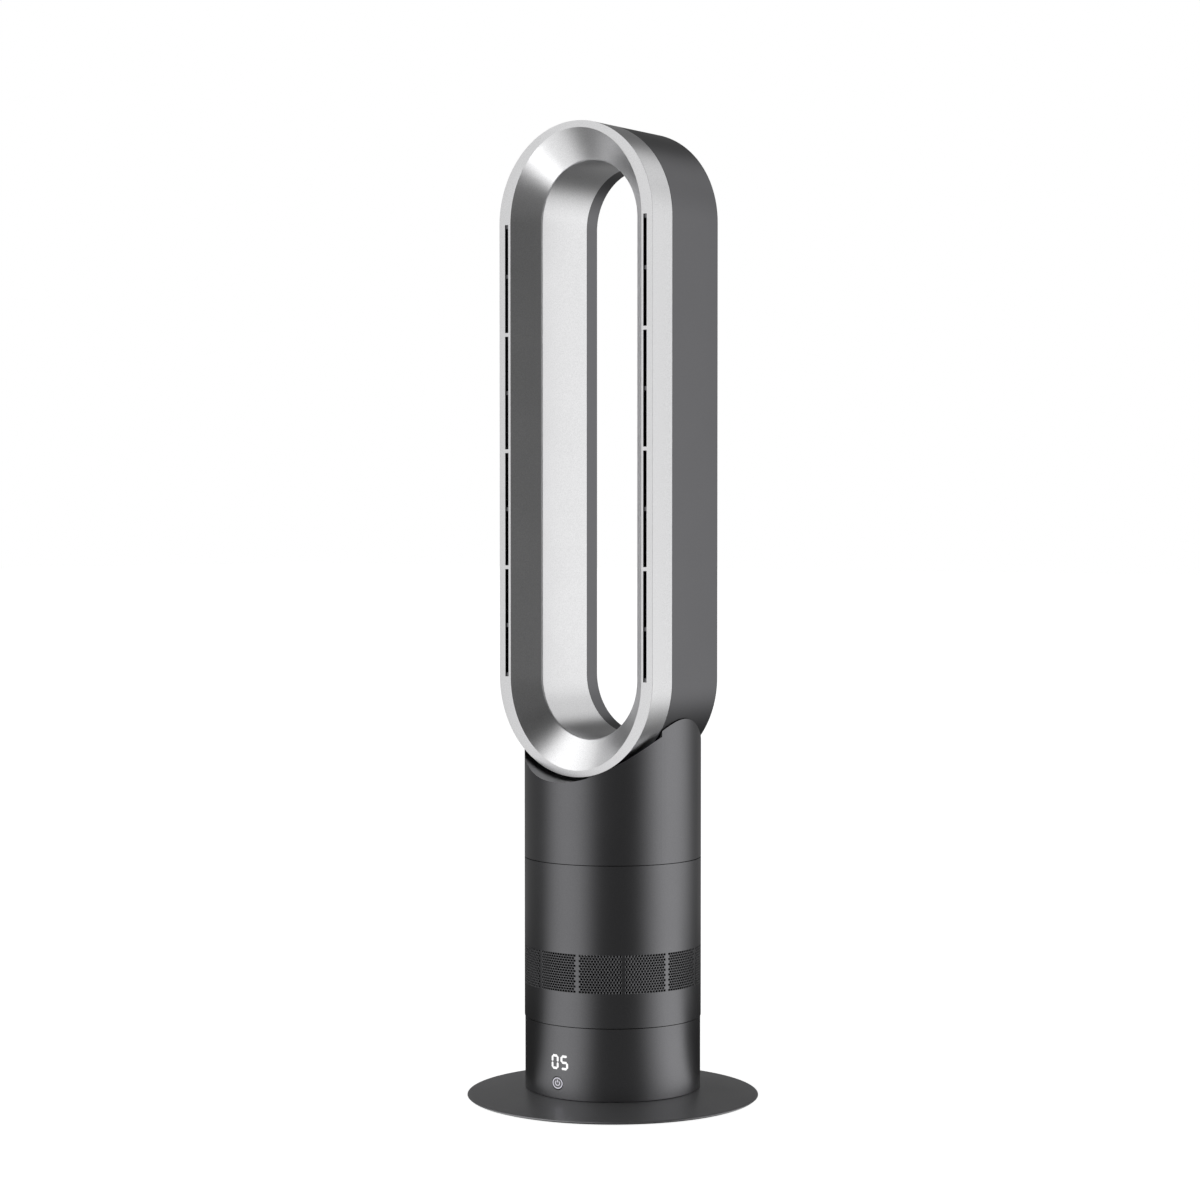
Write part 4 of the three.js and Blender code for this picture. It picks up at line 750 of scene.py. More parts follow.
class FanDisplay(bpy.types.Operator):
    """Lit two-digit number that shines through the housing"""

    bl_idname = "fan.display"
    bl_label = "Display"

    # Bars of the digits, named for their place: top, middle, bottom, and left or right of each half
    BARS = {
        "0": ("top", "bottom", "upper_left", "upper_right", "lower_left", "lower_right"),
        "5": ("top", "middle", "bottom", "upper_left", "lower_right"),
    }
    GAP = 0.18 * MM
    # Name, digit and turn in degrees from straight in front
    DIGITS = (("digit_tens", "0", -2.0), ("digit_units", "5", 5.4))

    def execute(self, context):
        sizes = context.scene.fan_base
        for name, digit, angle in self.DIGITS:
            bm = bmesh.new()
            for bar in self.BARS[digit]:
                self.add_bar(bm, sizes, bar)
            bmesh.ops.translate(bm, verts=bm.verts[:], vec=(0, 0, sizes.digit_middle))
            wrap(bm, CASE_RADIUS + LIT_LIFT, radians(angle))
            bm.normal_update()
            face_outward(bm)
            piece = put_piece(name, bm, "base", ["lit_digits"])
            thicken(piece, LIT_FILM, 1)
        return {"FINISHED"}

    def add_bar(self, bm, sizes, bar):
        """A bar with pointed ends, drawn in X and Z."""
        stroke = sizes.digit_stroke
        half_width = (sizes.digit_width - stroke) / 2
        half_height = (sizes.digit_height - stroke) / 2
        level = {"top": half_height, "middle": 0, "bottom": -half_height}
        flat = bar in level
        half = (half_width if flat else half_height / 2) - self.GAP
        made = bmesh.ops.create_grid(bm, x_segments=6, y_segments=2, size=1)["verts"]
        shoulder = half - stroke / 2 + self.GAP
        for vert in made:
            along, across = vert.co.x, vert.co.y
            if abs(along) > 0.9:
                vert.co = (half * (1 if along > 0 else -1), 0, 0)
            else:
                vert.co = (shoulder * along * 1.5, across * stroke / 2, 0)
        bmesh.ops.remove_doubles(bm, verts=made, dist=TINY)
        made = [v for v in made if v.is_valid]
        turn = Matrix.Rotation(pi / 2, 3, "X")
        if not flat:
            turn = Matrix.Rotation(pi / 2, 3, "Y") @ turn
        bmesh.ops.rotate(bm, verts=made, cent=(0, 0, 0), matrix=turn)
        if flat:
            place = (0, 0, level[bar])
        else:
            up = 1 if bar.startswith("upper") else -1
            right = 1 if bar.endswith("right") else -1
            place = (right * half_width, 0, up * half_height / 2)
        bmesh.ops.translate(bm, verts=made, vec=place)


# ---------------------------------------------------------------- turning column


class FanColumnBody(bpy.types.Operator):
    """Turning part of the column, with its band of small inlet holes"""

    bl_idname = "fan.column_body"
    bl_label = "Column body"

    LEDGE_WIDTH = 6.7 * MM
    LEDGE_THICKNESS = 3 * MM
    LEDGE_FOOT = 6.4 * MM
    BOSSES = 3
    BOSS_RADIUS = 4.4 * MM
    BOSS_HEIGHT = 11 * MM
    BOSS_MIDDLE = 6 * MM

    def execute(self, context):
        sizes = context.scene.fan_body
        base = context.scene.fan_base
        bm = bmesh.new()
        self.add_panel(bm, sizes)
        self.repeat_panels(bm, sizes)
        self.add_plain_walls(bm, sizes, base.edge_round)
        wrap(bm, COLUMN_RADIUS)
        bmesh.ops.remove_doubles(bm, verts=bm.verts[:], dist=2 * TINY)
        bm.normal_update()
        bmesh.ops.recalc_face_normals(bm, faces=bm.faces[:])
        face_outward(bm)
        # The lining finish goes on the inner face and the hole walls: partly the bare black moulding inside the
        # shell, partly painted shade that keeps the inlet holes dark
        finishes = ["graphite_painted_abs", "black_moulded_abs"]
        piece = put_piece("column_body", bm, "head", finishes, ["body_shell"])
        thicken(piece, base.wall, -1, 1)
        self.add_ledge(base)
        return {"FINISHED"}

    @staticmethod
    def add_panel(bm, sizes):
        """One flat panel of staggered holes, drawn in X and Z. Each hole sits in a cell with six border points."""
        across = sizes.hole_across
        rows = sizes.hole_rows
        up = sizes.band_height / rows
        hexagon = [(-1, -1), (0, -1), (1, -1), (1, 1), (0, 1), (-1, 1)]
        ring = bmesh.ops.create_circle(bm, segments=8, radius=sizes.hole_radius)["verts"]
        bmesh.ops.rotate(bm, verts=ring, cent=(0, 0, 0), matrix=Matrix.Rotation(pi / 8, 3, "Z"))
        border = [bm.verts.new((x * across / 2, y * up / 2, 0)) for x, y in hexagon]
        for pair in zip(border, border[1:] + border[:1]):
            bm.edges.new(pair)
        bmesh.ops.bridge_loops(bm, edges=bm.edges[:])
        bmesh.ops.rotate(bm, verts=bm.verts[:], cent=(0, 0, 0), matrix=Matrix.Rotation(pi / 2, 3, "X"))
        points = bm.verts[:]
        cell = points + bm.edges[:] + bm.faces[:]
        bottom = BODY_LOW.z + sizes.band_bottom
        for row in range(rows):
            short = row % 2
            count = sizes.hole_columns - short
            height = bottom + (row + 0.5) * up
            for column in range(count):
                made = bmesh.ops.duplicate(bm, geom=cell)["geom"]
                verts = verts_in(made)
                place = ((column - (count - 1) / 2) * across, 0, height)
                bmesh.ops.translate(bm, verts=verts, vec=place)
            for side in (-1, 1) if short else ():
                made = bmesh.ops.create_grid(bm, x_segments=1, y_segments=1, size=0.5)["verts"]
                bmesh.ops.scale(bm, verts=made, vec=(across / 2, up, 1))
                bmesh.ops.rotate(bm, verts=made, cent=(0, 0, 0), matrix=Matrix.Rotation(pi / 2, 3, "X"))
                out = side * (sizes.hole_columns / 2 - 0.25) * across
                bmesh.ops.translate(bm, verts=made, vec=(out, 0, height))
        bmesh.ops.delete(bm, geom=points, context="VERTS")
        bmesh.ops.remove_doubles(bm, verts=bm.verts[:], dist=TINY)

    @staticmethod
    def repeat_panels(bm, sizes):
        """Copies the panel round the column, with a plain rib between neighbours."""
        pitch = 2 * pi * COLUMN_RADIUS / sizes.panels
        rib = pitch - sizes.hole_columns * sizes.hole_across
        up = sizes.band_height / sizes.hole_rows
        bottom = BODY_LOW.z + sizes.band_bottom
        made = bmesh.ops.create_grid(bm, x_segments=1, y_segments=sizes.hole_rows, size=0.5)["verts"]
        bmesh.ops.scale(bm, verts=made, vec=(rib, up * sizes.hole_rows, 1))
        bmesh.ops.rotate(bm, verts=made, cent=(0, 0, 0), matrix=Matrix.Rotation(pi / 2, 3, "X"))
        bmesh.ops.translate(bm, verts=made, vec=(pitch / 2, 0, bottom + sizes.band_height / 2))
        panel = bm.verts[:] + bm.edges[:] + bm.faces[:]
        for place in range(1, sizes.panels):
            copy = bmesh.ops.duplicate(bm, geom=panel)["geom"]
            bmesh.ops.translate(bm, verts=verts_in(copy), vec=(place * pitch, 0, 0))
        bmesh.ops.remove_doubles(bm, verts=bm.verts[:], dist=2 * TINY)

    @staticmethod
    def add_plain_walls(bm, sizes, soft):
        """Extrudes the band's upper and lower edges to the ends of the body, and rounds those."""
        bottom = BODY_LOW.z + sizes.band_bottom
        top = bottom + sizes.band_height
        stations = (
            (bottom, (BODY_LOW.z + soft, 0), (BODY_LOW.z + 0.3 * soft, 0.3 * soft), (BODY_LOW.z, soft)),
            (top, (BODY_HIGH.z - soft, 0), (BODY_HIGH.z - 0.3 * soft, 0.3 * soft), (BODY_HIGH.z, soft)),
        )
        for start, *steps in stations:
            edges = [e for e in bm.edges if e.is_boundary and all(abs(v.co.z - start) < TINY for v in e.verts)]
            for height, inset in steps:
                made = bmesh.ops.extrude_edge_only(bm, edges=edges)["geom"]
                verts = verts_in(made)
                for vert in verts:
                    vert.co.z = height
                    vert.co.y = inset
                edges = [e for e in edges_in(made) if all(abs(v.co.z - height) < TINY for v in e.verts)]

    def add_ledge(self, base):
        """Ledge inside the body that the air mover stands on, and the bosses for the turntable's screws."""
        inner = COLUMN_RADIUS - base.wall
        top = ISOLATOR_LOW.z - FIT
        edge = inner - self.LEDGE_WIDTH
        points = [(edge, top - self.LEDGE_THICKNESS), (inner, top - self.LEDGE_FOOT), (inner, top), (edge, top)]
        bm = bmesh.new()
        turned_ring(bm, points, 96)
        low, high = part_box("body_screw_1")
        circle = hypot(low.x + high.x, low.y + high.y) / 2
        bottom = high.z
        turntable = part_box("turntable")[1].z
        for place in range(self.BOSSES):
            angle = pi / 6 + place * 2 * pi / self.BOSSES
            made = bmesh.ops.create_cone(
                bm, cap_ends=True, segments=24, radius1=self.BOSS_RADIUS, radius2=self.BOSS_RADIUS,
                depth=self.BOSS_HEIGHT,
            )["verts"]
            middle = (circle * cos(angle), circle * sin(angle), max(bottom, turntable) + self.BOSS_MIDDLE)
            bmesh.ops.translate(bm, verts=made, vec=middle)
        put_piece("body_ledge", bm, "head", ["black_moulded_abs"])


class FanColumnCollar(bpy.types.Operator):
    """Upper part of the column, with the saddle that the loop stands in"""

    bl_idname = "fan.column_collar"
    bl_label = "Column collar"

    COLUMNS = 120
    # How far in from the rim the wall's thickness fades out, and how far from the step the rounding does
    THICKNESS_FADE = 8 * MM
    ROUNDING_FADE = 6 * MM
    RIM_ROUND = 0.6 * MM
    STEP_LENGTH = 0.4 * MM
    SPIGOT = 2.2 * MM

    def execute(self, context):
        sizes = context.scene.fan_body
        base = context.scene.fan_base
        loop = context.scene.fan_loop
        wall = base.wall
        bm = bmesh.new()
        neck_low, neck_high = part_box("neck_seal")
        gap = sizes.saddle_gap
        half, front, back = neck_high.x + gap, neck_low.y - gap, neck_high.y + gap
        step = LOOP_FRONT + loop.band_depth
        rows = [("edge", 0.0), ("edge", 0.35), ("edge", 0.7), ("front", step), ("behind", step + self.STEP_LENGTH)]
        rows += [("behind", front), ("behind", 0), ("behind", back), ("rear", 0.5), ("rear", 1.0)]
        cross = asin(sqrt(COLUMN_RADIUS**2 - step**2) / COLUMN_RADIUS)
        turns = self.column_angles(asin(half / COLUMN_RADIUS), cross, cross + radians(0.1))
        bmesh.ops.create_grid(bm, x_segments=len(turns) - 1, y_segments=len(rows) - 1, size=1)
        for vert in bm.verts:
            column = round((vert.co.x + 1) / 2 * (len(turns) - 1))
            kind, value = rows[round((vert.co.y + 1) / 2 * (len(rows) - 1))]
            x = COLUMN_RADIUS * sin(turns[column])
            reach = sqrt(max(COLUMN_RADIUS**2 - x**2, 0))
            if kind == "edge":
                y = -reach + value * max(step + reach, 0)
            elif kind == "rear":
                y = min(back, reach) + value * (reach - min(back, reach))
            else:
                y = min(max(value, -reach), reach)
            high = kind in ("edge", "front") and reach > -step - TINY
            vert.co = (x, y, self.saddle(x, y, high, sizes, loop))
        opening = [f for f in bm.faces if self.over_neck(f, half, front, back)]
        bmesh.ops.delete(bm, geom=opening, context="FACES")
        bmesh.ops.remove_doubles(bm, verts=bm.verts[:], dist=TINY)
        bmesh.ops.dissolve_degenerate(bm, edges=bm.edges[:], dist=TINY)
        bm.normal_update()
        if sum(f.normal.z for f in bm.faces) < 0:
            bmesh.ops.reverse_faces(bm, faces=bm.faces[:])
        self.add_wall(bm, base.edge_round, step)
        piece = put_piece(
            "column_collar", bm, "head", ["graphite_painted_abs"], ["head_collar"], crease=35
        )
        # The rim is a thin wedge, so the wall's thickness fades out towards it
        share = piece.vertex_groups.new(name="thickness")
        for vert in piece.data.vertices:
            low = vert.co.z < BODY_HIGH.z + 1 * MM
            inward = COLUMN_RADIUS - hypot(vert.co.x, vert.co.y)
            share.add([vert.index], 1 if low else min(max(inward / self.THICKNESS_FADE, 0), 1), "REPLACE")
        thicken(piece, wall, -1)
        piece.modifiers["wall"].use_even_offset = False
        piece.modifiers["wall"].vertex_group = share.name
        soften_marked_edges(piece, self.RIM_ROUND, 3)
        self.add_spigot(wall)
        return {"FINISHED"}

    def column_angles(self, *exact):
        """Angles of the grid's columns, with columns at exact angles on both sides."""
        angles = rows_between(-pi / 2, pi / 2, self.COLUMNS)
        taken = set()
        for edge in exact:
            for side in (-edge, edge):
                free = (k for k in range(len(angles)) if k not in taken)
                nearest = min(free, key=lambda k: abs(angles[k] - side))
                angles[nearest] = side
                taken.add(nearest)
        return sorted(angles)

    @staticmethod
    def saddle(x, y, high, sizes, loop):
        """Height of the deck at a place, under the front where it is high and under the rear shell elsewhere."""
        skin = skin_half(min(max(y, LOOP_FRONT), LOOP_BACK), loop)
        radius = LOOP_HALF + sizes.reveal_gap if high else skin + sizes.saddle_gap
        return LOW_ARC - sqrt(radius**2 - x**2)

    @staticmethod
    def over_neck(face, half, front, back):
        middle = face.calc_center_median()
        return abs(middle.x) < half and front < middle.y < back

    def add_wall(self, bm, soft, step):
        """Extrudes the deck's round edge down to the joint with the body, and marks that edge for rounding."""
        marks = bm.edges.layers.float.new("bevel_weight_edge")
        edges = [e for e in bm.edges if e.is_boundary
                 and all(abs(hypot(v.co.x, v.co.y) - COLUMN_RADIUS) < 2 * TINY for v in e.verts)]
        # The rounding fades out on both sides of the step
        rim = []
        for edge in edges:
            away = min(abs(v.co.y - step) for v in edge.verts)
            rim.append((edge, min(max(away / self.ROUNDING_FADE - 0.25, 0), 1)))
        joint = COLLAR_JOINT
        for height, inset in ((joint + soft, 0), (joint + 0.3 * soft, 0.3 * soft), (joint, soft)):
            made = bmesh.ops.extrude_edge_only(bm, edges=edges)["geom"]
            verts = verts_in(made)
            for vert in verts:
                away = Vector((vert.co.x, vert.co.y)).normalized() * (COLUMN_RADIUS - inset)
                vert.co = (away.x, away.y, height)
            edges = [e for e in edges_in(made) if set(e.verts) <= set(verts)]
        for edge, weight in rim:
            edge[marks] = weight

    def add_spigot(self, wall):
        """Ring that plugs into the body."""
        outer = COLUMN_RADIUS - wall - FIT
        inner = outer - self.SPIGOT
        bottom, top = COLLAR_LOW.z, COLLAR_JOINT + self.SPIGOT
        bm = bmesh.new()
        points = [(inner, bottom), (outer, bottom), (outer, top), (inner, top)]
        turned_ring(bm, points, 96)
        put_piece("collar_spigot", bm, "head", ["black_moulded_abs"])


# ---------------------------------------------------------------- loop


def skin_half(y, loop):
    """Half width of the loop's outer skin at a depth."""
    return LOOP_HALF - loop.taper * (y - LOOP_FRONT) / (LOOP_BACK - LOOP_FRONT)


def sweep_round_loop(bm, points, corners, stops):
    """Sweeps a closed profile of (half width, depth) points round the loop.

    corners rounds some of its points, by their number, and stops are the heights at which the straight sides
    get a row of vertices.
    """
    verts = [bm.verts.new((half, y, HIGH_ARC)) for half, y in points]
    for pair in zip(verts, verts[1:] + verts[:1]):
        bm.edges.new(pair)
    for number, radius in corners.items():
        soften(bm, verts[number], radius, 4)
    chain = bm.verts[:] + bm.edges[:]
    heights = [*sorted(stops, reverse=True), LOW_ARC]
    for centre, descend in ((HIGH_ARC, True), (LOW_ARC, False)):
        chain = bmesh.ops.spin(
            bm, geom=chain, cent=(0, 0, centre), axis=(0, -1, 0), angle=pi, steps=LOOP_TURNS,
        )["geom_last"]
        levels = heights if descend else [*sorted(stops), HIGH_ARC]
        for level in levels:
            made = bmesh.ops.extrude_edge_only(bm, edges=edges_in(chain))["geom"]
            verts = verts_in(made)
            for vert in verts:
                vert.co.z = level
            new = set(verts)
            chain = verts + [e for e in edges_in(made) if set(e.verts) <= new]
    bmesh.ops.remove_doubles(bm, verts=bm.verts[:], dist=TINY)
    bmesh.ops.recalc_face_normals(bm, faces=bm.faces[:])


class FanLoopBack(bpy.types.Operator):
    """Dark rear shell of the loop, with the lip round the open middle and the neck"""

    bl_idname = "fan.loop_back"
    bl_label = "Loop back"

    LIP_DEPTH = 14.4 * MM
    LAP = 6 * MM
    # Room between the lip and the wall that it laps, and step of the lip's own edge
    LIP_ROOM = 0.45 * MM
    LIP_STEP = 0.15 * MM
    TONGUE = 1 * MM
    NECK_CORNER = 5 * MM
    NECK_WALL = 2.5 * MM

    def execute(self, context):
        loop = context.scene.fan_loop
        wall = loop.wall
        band_back = LOOP_FRONT + loop.band_depth
        front = band_back + FIT
        throat = LOOP_HALF - loop.throat_inset
        exit_half = throat - loop.exit_taper
        lip = LOOP_BACK - self.LIP_DEPTH
        tongue = loop.taper + self.TONGUE
        lap = self.LAP
        skin = skin_half(LOOP_BACK, loop)
        points = [
            (skin_half(front, loop), front), (skin, LOOP_BACK), (exit_half, LOOP_BACK),
            (exit_half + self.LIP_STEP, lip), (exit_half + wall + self.LIP_ROOM, lip),
            (exit_half + wall + self.LIP_ROOM, lip - lap), (exit_half + 2 * wall + self.LIP_STEP, lip - lap),
            (exit_half + 2 * wall + self.LIP_STEP, LOOP_BACK - wall), (skin - wall, LOOP_BACK - wall),
            (skin_half(front, loop) - wall, front + wall + tongue),
            (skin_half(band_back, loop) - wall - tongue, front + wall),
            (skin_half(band_back, loop) - wall - tongue, front - lap),
            (skin_half(band_back, loop) - wall - FIT, front - lap),
            (skin_half(band_back, loop) - wall - FIT, front),
        ]
        bm = bmesh.new()
        sweep_round_loop(bm, points, {0: 0.25 * MM, 1: 2.2 * MM, 2: 1.2 * MM}, [LOOP_MIDDLE])
        put_piece("loop_back", bm, "head", ["shell_painted_abs"], ["rear_shell"])
        self.add_neck(loop)
        return {"FINISHED"}

    def add_neck(self, loop):
        """Duct that carries the air up from the column, hidden in the collar."""
        low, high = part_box("neck_seal")
        bottom = BACK_LOW.z
        bm = bmesh.new()
        made = bmesh.ops.create_grid(bm, x_segments=1, y_segments=1, size=0.5)["verts"]
        bmesh.ops.scale(bm, verts=made, vec=(high.x - low.x, high.y - low.y, 1))
        bmesh.ops.translate(bm, verts=made, vec=(0, (low.y + high.y) / 2, bottom))
        bmesh.ops.bevel(
            bm, geom=made, offset=self.NECK_CORNER, offset_type="OFFSET", segments=4, profile=0.5,
            affect="VERTICES", material=-1,
        )
        bmesh.ops.subdivide_edges(
            bm, edges=[e for e in bm.edges if abs(e.verts[0].co.x - e.verts[1].co.x) > 40 * MM], cuts=12,
        )
        outline = [e for e in bm.edges if e.is_boundary]
        made = bmesh.ops.extrude_edge_only(bm, edges=outline)["geom"]
        radius = skin_half(LOOP_BACK, loop) - loop.wall / 2
        for vert in verts_in(made):
            vert.co.z = LOW_ARC - sqrt(radius**2 - vert.co.x**2)
        sides = {f for e in edges_in(made) for f in e.link_faces}
        bmesh.ops.delete(bm, geom=[f for f in bm.faces if f not in sides], context="FACES_ONLY")
        bmesh.ops.delete(bm, geom=[e for e in bm.edges if not e.link_faces], context="EDGES")
        bm.normal_update()
        face_outward(bm, Vector((0, (low.y + high.y) / 2, 0)))
        piece = put_piece("loop_neck", bm, "head", ["shell_painted_abs"])
        thicken(piece, self.NECK_WALL, -1)


class FanLoopFront(bpy.types.Operator):
    """Silver front of the loop: rim with the air slots, side band, bevel and inner wall"""

    bl_idname = "fan.loop_front"
    bl_label = "Loop front"

    def execute(self, context):
        loop = context.scene.fan_loop
        wall = loop.wall
        rim = LOOP_HALF - loop.rim_width
        throat = LOOP_HALF - loop.throat_inset
        throat_y = LOOP_FRONT + loop.bevel_depth
        band_back = LOOP_FRONT + loop.band_depth
        end_y = FRONT_HIGH.y
        lean = loop.exit_taper / (LOOP_BACK - throat_y)
        inner_end = throat - lean * (end_y - throat_y)
        slot = LOOP_HALF - loop.slot_offset
        slot_in, slot_out = slot - loop.slot_width / 2, slot + loop.slot_width / 2
        plate_back = LOOP_FRONT + wall
        points = [
            (rim, LOOP_FRONT), (slot_in, LOOP_FRONT), (slot_out, LOOP_FRONT), (LOOP_HALF, LOOP_FRONT),
            (skin_half(band_back, loop), band_back), (skin_half(band_back, loop) - wall, band_back),
            (skin_half(plate_back, loop) - wall, plate_back), (slot_out, plate_back), (slot_in, plate_back),
            (rim + 1 * MM, plate_back), (throat + wall * sqrt(2), throat_y),
            (throat + wall, throat_y + wall * sqrt(2)), (inner_end + wall, end_y), (inner_end, end_y),
            (throat, throat_y),
        ]
        corners = {0: 0.3 * MM, 3: 0.3 * MM, 4: 0.25 * MM, 14: 1.2 * MM}
        grooves = self.groove_spans(loop)
        deeps = [span for groove in grooves for span in self.deep_spans(groove, loop)]
        stops = sorted({height for span in grooves + deeps for height in span} - {LOW_ARC, HIGH_ARC})
        bm = bmesh.new()
        sweep_round_loop(bm, points, corners, stops)
        self.cut_slots(bm, slot_in, slot_out, plate_back, grooves, deeps, loop)
        self.widen_ends(bm, rim, throat, throat_y, loop)
        bmesh.ops.recalc_face_normals(bm, faces=bm.faces[:])
        # Painted shade: the slots' walls take the black finish and the ribs in the grooves the shell grey
        self.paint_slot_shade(bm, slot_in, slot_out, plate_back)
        finishes = ["silver_painted_abs", "black_moulded_abs", "shell_painted_abs"]
        put_piece("loop_front", bm, "head", finishes, ["front_bezel"], crease=28)
        return {"FINISHED"}

    @staticmethod
    def groove_spans(loop):
        """Lower and upper end of each groove along a straight side."""
        pitch = (LOOP_STRAIGHT + 2 * loop.slot_overrun) / loop.slots
        reach = (pitch - loop.slot_bridge) / 2
        middles = [LOOP_MIDDLE + (k - (loop.slots - 1) / 2) * pitch for k in range(loop.slots)]
        return [(max(m - reach, LOW_ARC + TINY), min(m + reach, HIGH_ARC - TINY)) for m in middles]

    @staticmethod
    def deep_spans(groove, loop):
        """The two open slots in a groove, on both sides of its rib. The end grooves stop short of the arcs."""
        pitch = (LOOP_STRAIGHT + 2 * loop.slot_overrun) / loop.slots
        reach = (pitch - loop.slot_bridge) / 2
        low, high = groove
        at_bottom, at_top = low < LOW_ARC + MM, high > HIGH_ARC - MM
        rib = high - reach if at_bottom else low + reach
        start = low + loop.slot_rib if at_bottom else low
        stop = high - loop.slot_rib if at_top else high
        return [(start, rib - loop.slot_rib / 2), (rib + loop.slot_rib / 2, stop)]

    @staticmethod
    def cut_slots(bm, slot_in, slot_out, plate_back, grooves, deeps, loop):
        """Sinks the grooves into the rim and opens the slots in them through to the back of the rim."""

        def strip(side, y, low, high):
            found = []
            for face in bm.faces:
                middle = face.calc_center_median()
                if (abs(middle.y - y) < 0.05 * MM and slot_in < side * middle.x < slot_out
                        and low < middle.z < high):
                    found.append(face)
            return found

        floor = LOOP_FRONT + loop.slot_recess
        for side in (-1, 1):
            for low, high in grooves:
                faces = strip(side, LOOP_FRONT, low, high)
                bmesh.ops.inset_region(
                    bm, faces=faces, thickness=0.05 * MM, depth=-loop.slot_recess, use_even_offset=True,
                )
            for low, high in deeps:
                faces = strip(side, floor, low, high) + strip(side, plate_back, low, high)
                edges = {e for f in faces for e in f.edges if sum(other in faces for other in e.link_faces) == 1}
                bmesh.ops.delete(bm, geom=faces, context="FACES_ONLY")
                bmesh.ops.bridge_loops(bm, edges=list(edges))

    @staticmethod
    def paint_slot_shade(bm, slot_in, slot_out, plate_back):
        """Paints shade into the slots: the walls of the grooves and slots get the black finish and the ribs between
        them the grey shell finish, as painted shade in these recesses of the silver front.
        """
        play = 0.1 * MM  # Keeps the faces beside the slots out
        for face in bm.faces:
            middle = face.calc_center_median()
            inside = slot_in - play < abs(middle.x) < slot_out + play and LOOP_FRONT + play < middle.y < plate_back
            if inside and LOW_ARC < middle.z < HIGH_ARC:
                # Painted shade: black on the walls, shell grey on the ribs
                face.material_index = 1 if abs(face.normal.y) < 0.5 else 2

    @staticmethod
    def widen_ends(bm, rim, throat, throat_y, loop):
        """Draws the rim and the bevel out towards the loop's top and bottom, where the rim is narrower."""
        rim_end = LOOP_HALF - loop.rim_width_ends
        for vert in bm.verts:
            beyond = abs(vert.co.z - LOOP_MIDDLE) - LOOP_STRAIGHT / 2
            half = hypot(vert.co.x, max(beyond, 0))
            if beyond <= TINY or vert.co.y > throat_y or half <= throat:
                continue
            if half < rim:
                wide = throat + (half - throat) * (rim_end - throat) / (rim - throat)
            else:
                share = min((half - rim) / (LOOP_HALF - rim), 1)
                wide = rim_end + share * (LOOP_HALF - rim_end)
            side = 1 if vert.co.z > LOOP_MIDDLE else -1
            vert.co.z = LOOP_MIDDLE + side * (LOOP_STRAIGHT / 2 + beyond * wide / half)


# ---------------------------------------------------------------- carried-over pieces


class FanInnerParts(bpy.types.Operator):
    """Finishes of the parts that are shown as the frame has them"""

    bl_idname = "fan.inner_parts"
    bl_label = "Inner parts"

    def execute(self, context):
        for name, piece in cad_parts.items():
            if piece.hide_render:
                continue
            kinds = [kind for start, kind in NODE_FINISH.items() if name.startswith(start)]
            kind = kinds[0] if kinds else "black_moulded_abs"
            if "screw" in name:
                kind = "zinc_plated_steel"
            piece.data.materials.clear()
            piece.data.materials.append(finish_of(kind))
        return {"FINISHED"}


# ---------------------------------------------------------------- studio


class FanStudioSizes(bpy.types.PropertyGroup):
    """Camera and lights"""

    azimuth: FloatProperty(
        name="Camera azimuth", description="Direction of the camera round the fan, from its front towards its right",
        default=radians(38.172), subtype="ANGLE",
    )
    distance: length("Camera distance", "Level distance of the camera from the fan's axis", 2.39203)
    height: length("Camera height", "Height of the camera above the floor", 0.48667)
    turn: FloatProperty(
        name="Camera turn", description="How far the camera looks to the left of the axis", default=radians(0.258),
        subtype="ANGLE",
    )
    tilt: FloatProperty(
        name="Camera tilt", description="How far the camera looks down", default=radians(1.647), subtype="ANGLE",
    )
    lens: FloatProperty(name="Focal length", description="Focal length in millimetres", default=85.564, min=1)
    left: FloatProperty(name="Left softbox", description="Level of the wide light on the left", default=0.88, min=0)
    right: FloatProperty(name="Right softbox", description="Level of the wide light on the right", default=1.2, min=0)
    top: FloatProperty(name="Top softbox", description="Level of the light above the left", default=1.2, min=0)
    back: FloatProperty(name="Back softbox", description="Level of the light above the back", default=0.85, min=0)
    dark: FloatProperty(name="Dark surroundings", description="Level of what lies between them", default=0.1, min=0)
    lamp: FloatProperty(name="Lamp", description="Power of the lamp above the left", default=1, min=0)
    board: FloatProperty(name="Low board", description="Power of the reflector board below", default=0.24, min=0)


def softboxes(tree, studio, way):
    """Level of the two wide softboxes beside the fan, for a direction, or for a place as seen from the fan."""
    axes = (
        (cos(studio.azimuth), sin(studio.azimuth), 0),
        (sin(studio.azimuth), -cos(studio.azimuth), 0),
    )
    rightward, ahead = (
        add_node(tree, "ShaderNodeVectorMath", {0: way, 1: axis}, operation="DOT_PRODUCT").outputs["Value"]
        for axis in axes
    )
    turn = add_node(tree, "ShaderNodeMath", {0: rightward, 1: ahead}, operation="ARCTAN2").outputs[0]
    total = add_node(
        tree, "ShaderNodeMapRange",
        {"Value": ahead, "From Min": -0.9, "From Max": 0.2, "To Min": 1.8 * studio.dark, "To Max": studio.dark},
    ).outputs[0]
    # Turn of each box from the camera, half widths at full level and at its ends in degrees, and its level
    for centre, full, reach, level in ((-60, 10, 46, studio.left), (80, 8, 54, studio.right)):
        off = add_node(tree, "ShaderNodeMath", {0: turn, 1: radians(centre)}, operation="SUBTRACT").outputs[0]
        off = add_node(tree, "ShaderNodeMath", {0: off}, operation="ABSOLUTE").outputs[0]
        box = add_node(
            tree, "ShaderNodeMapRange",
            {"Value": off, "From Min": radians(full), "From Max": radians(reach), "To Min": level, "To Max": 0.0},
            interpolation_type="SMOOTHSTEP",
        ).outputs[0]
        total = add_node(tree, "ShaderNodeMath", {0: box, 1: total}, operation="ADD").outputs[0]
    return total


def is_seen(tree):
    """1 for what the camera sees straight or through glass."""
    path = add_node(tree, "ShaderNodeLightPath").outputs
    return add_node(
        tree, "ShaderNodeMath", {0: path["Is Camera Ray"], 1: path["Is Transmission Ray"]}, operation="MAXIMUM"
    ).outputs[0]


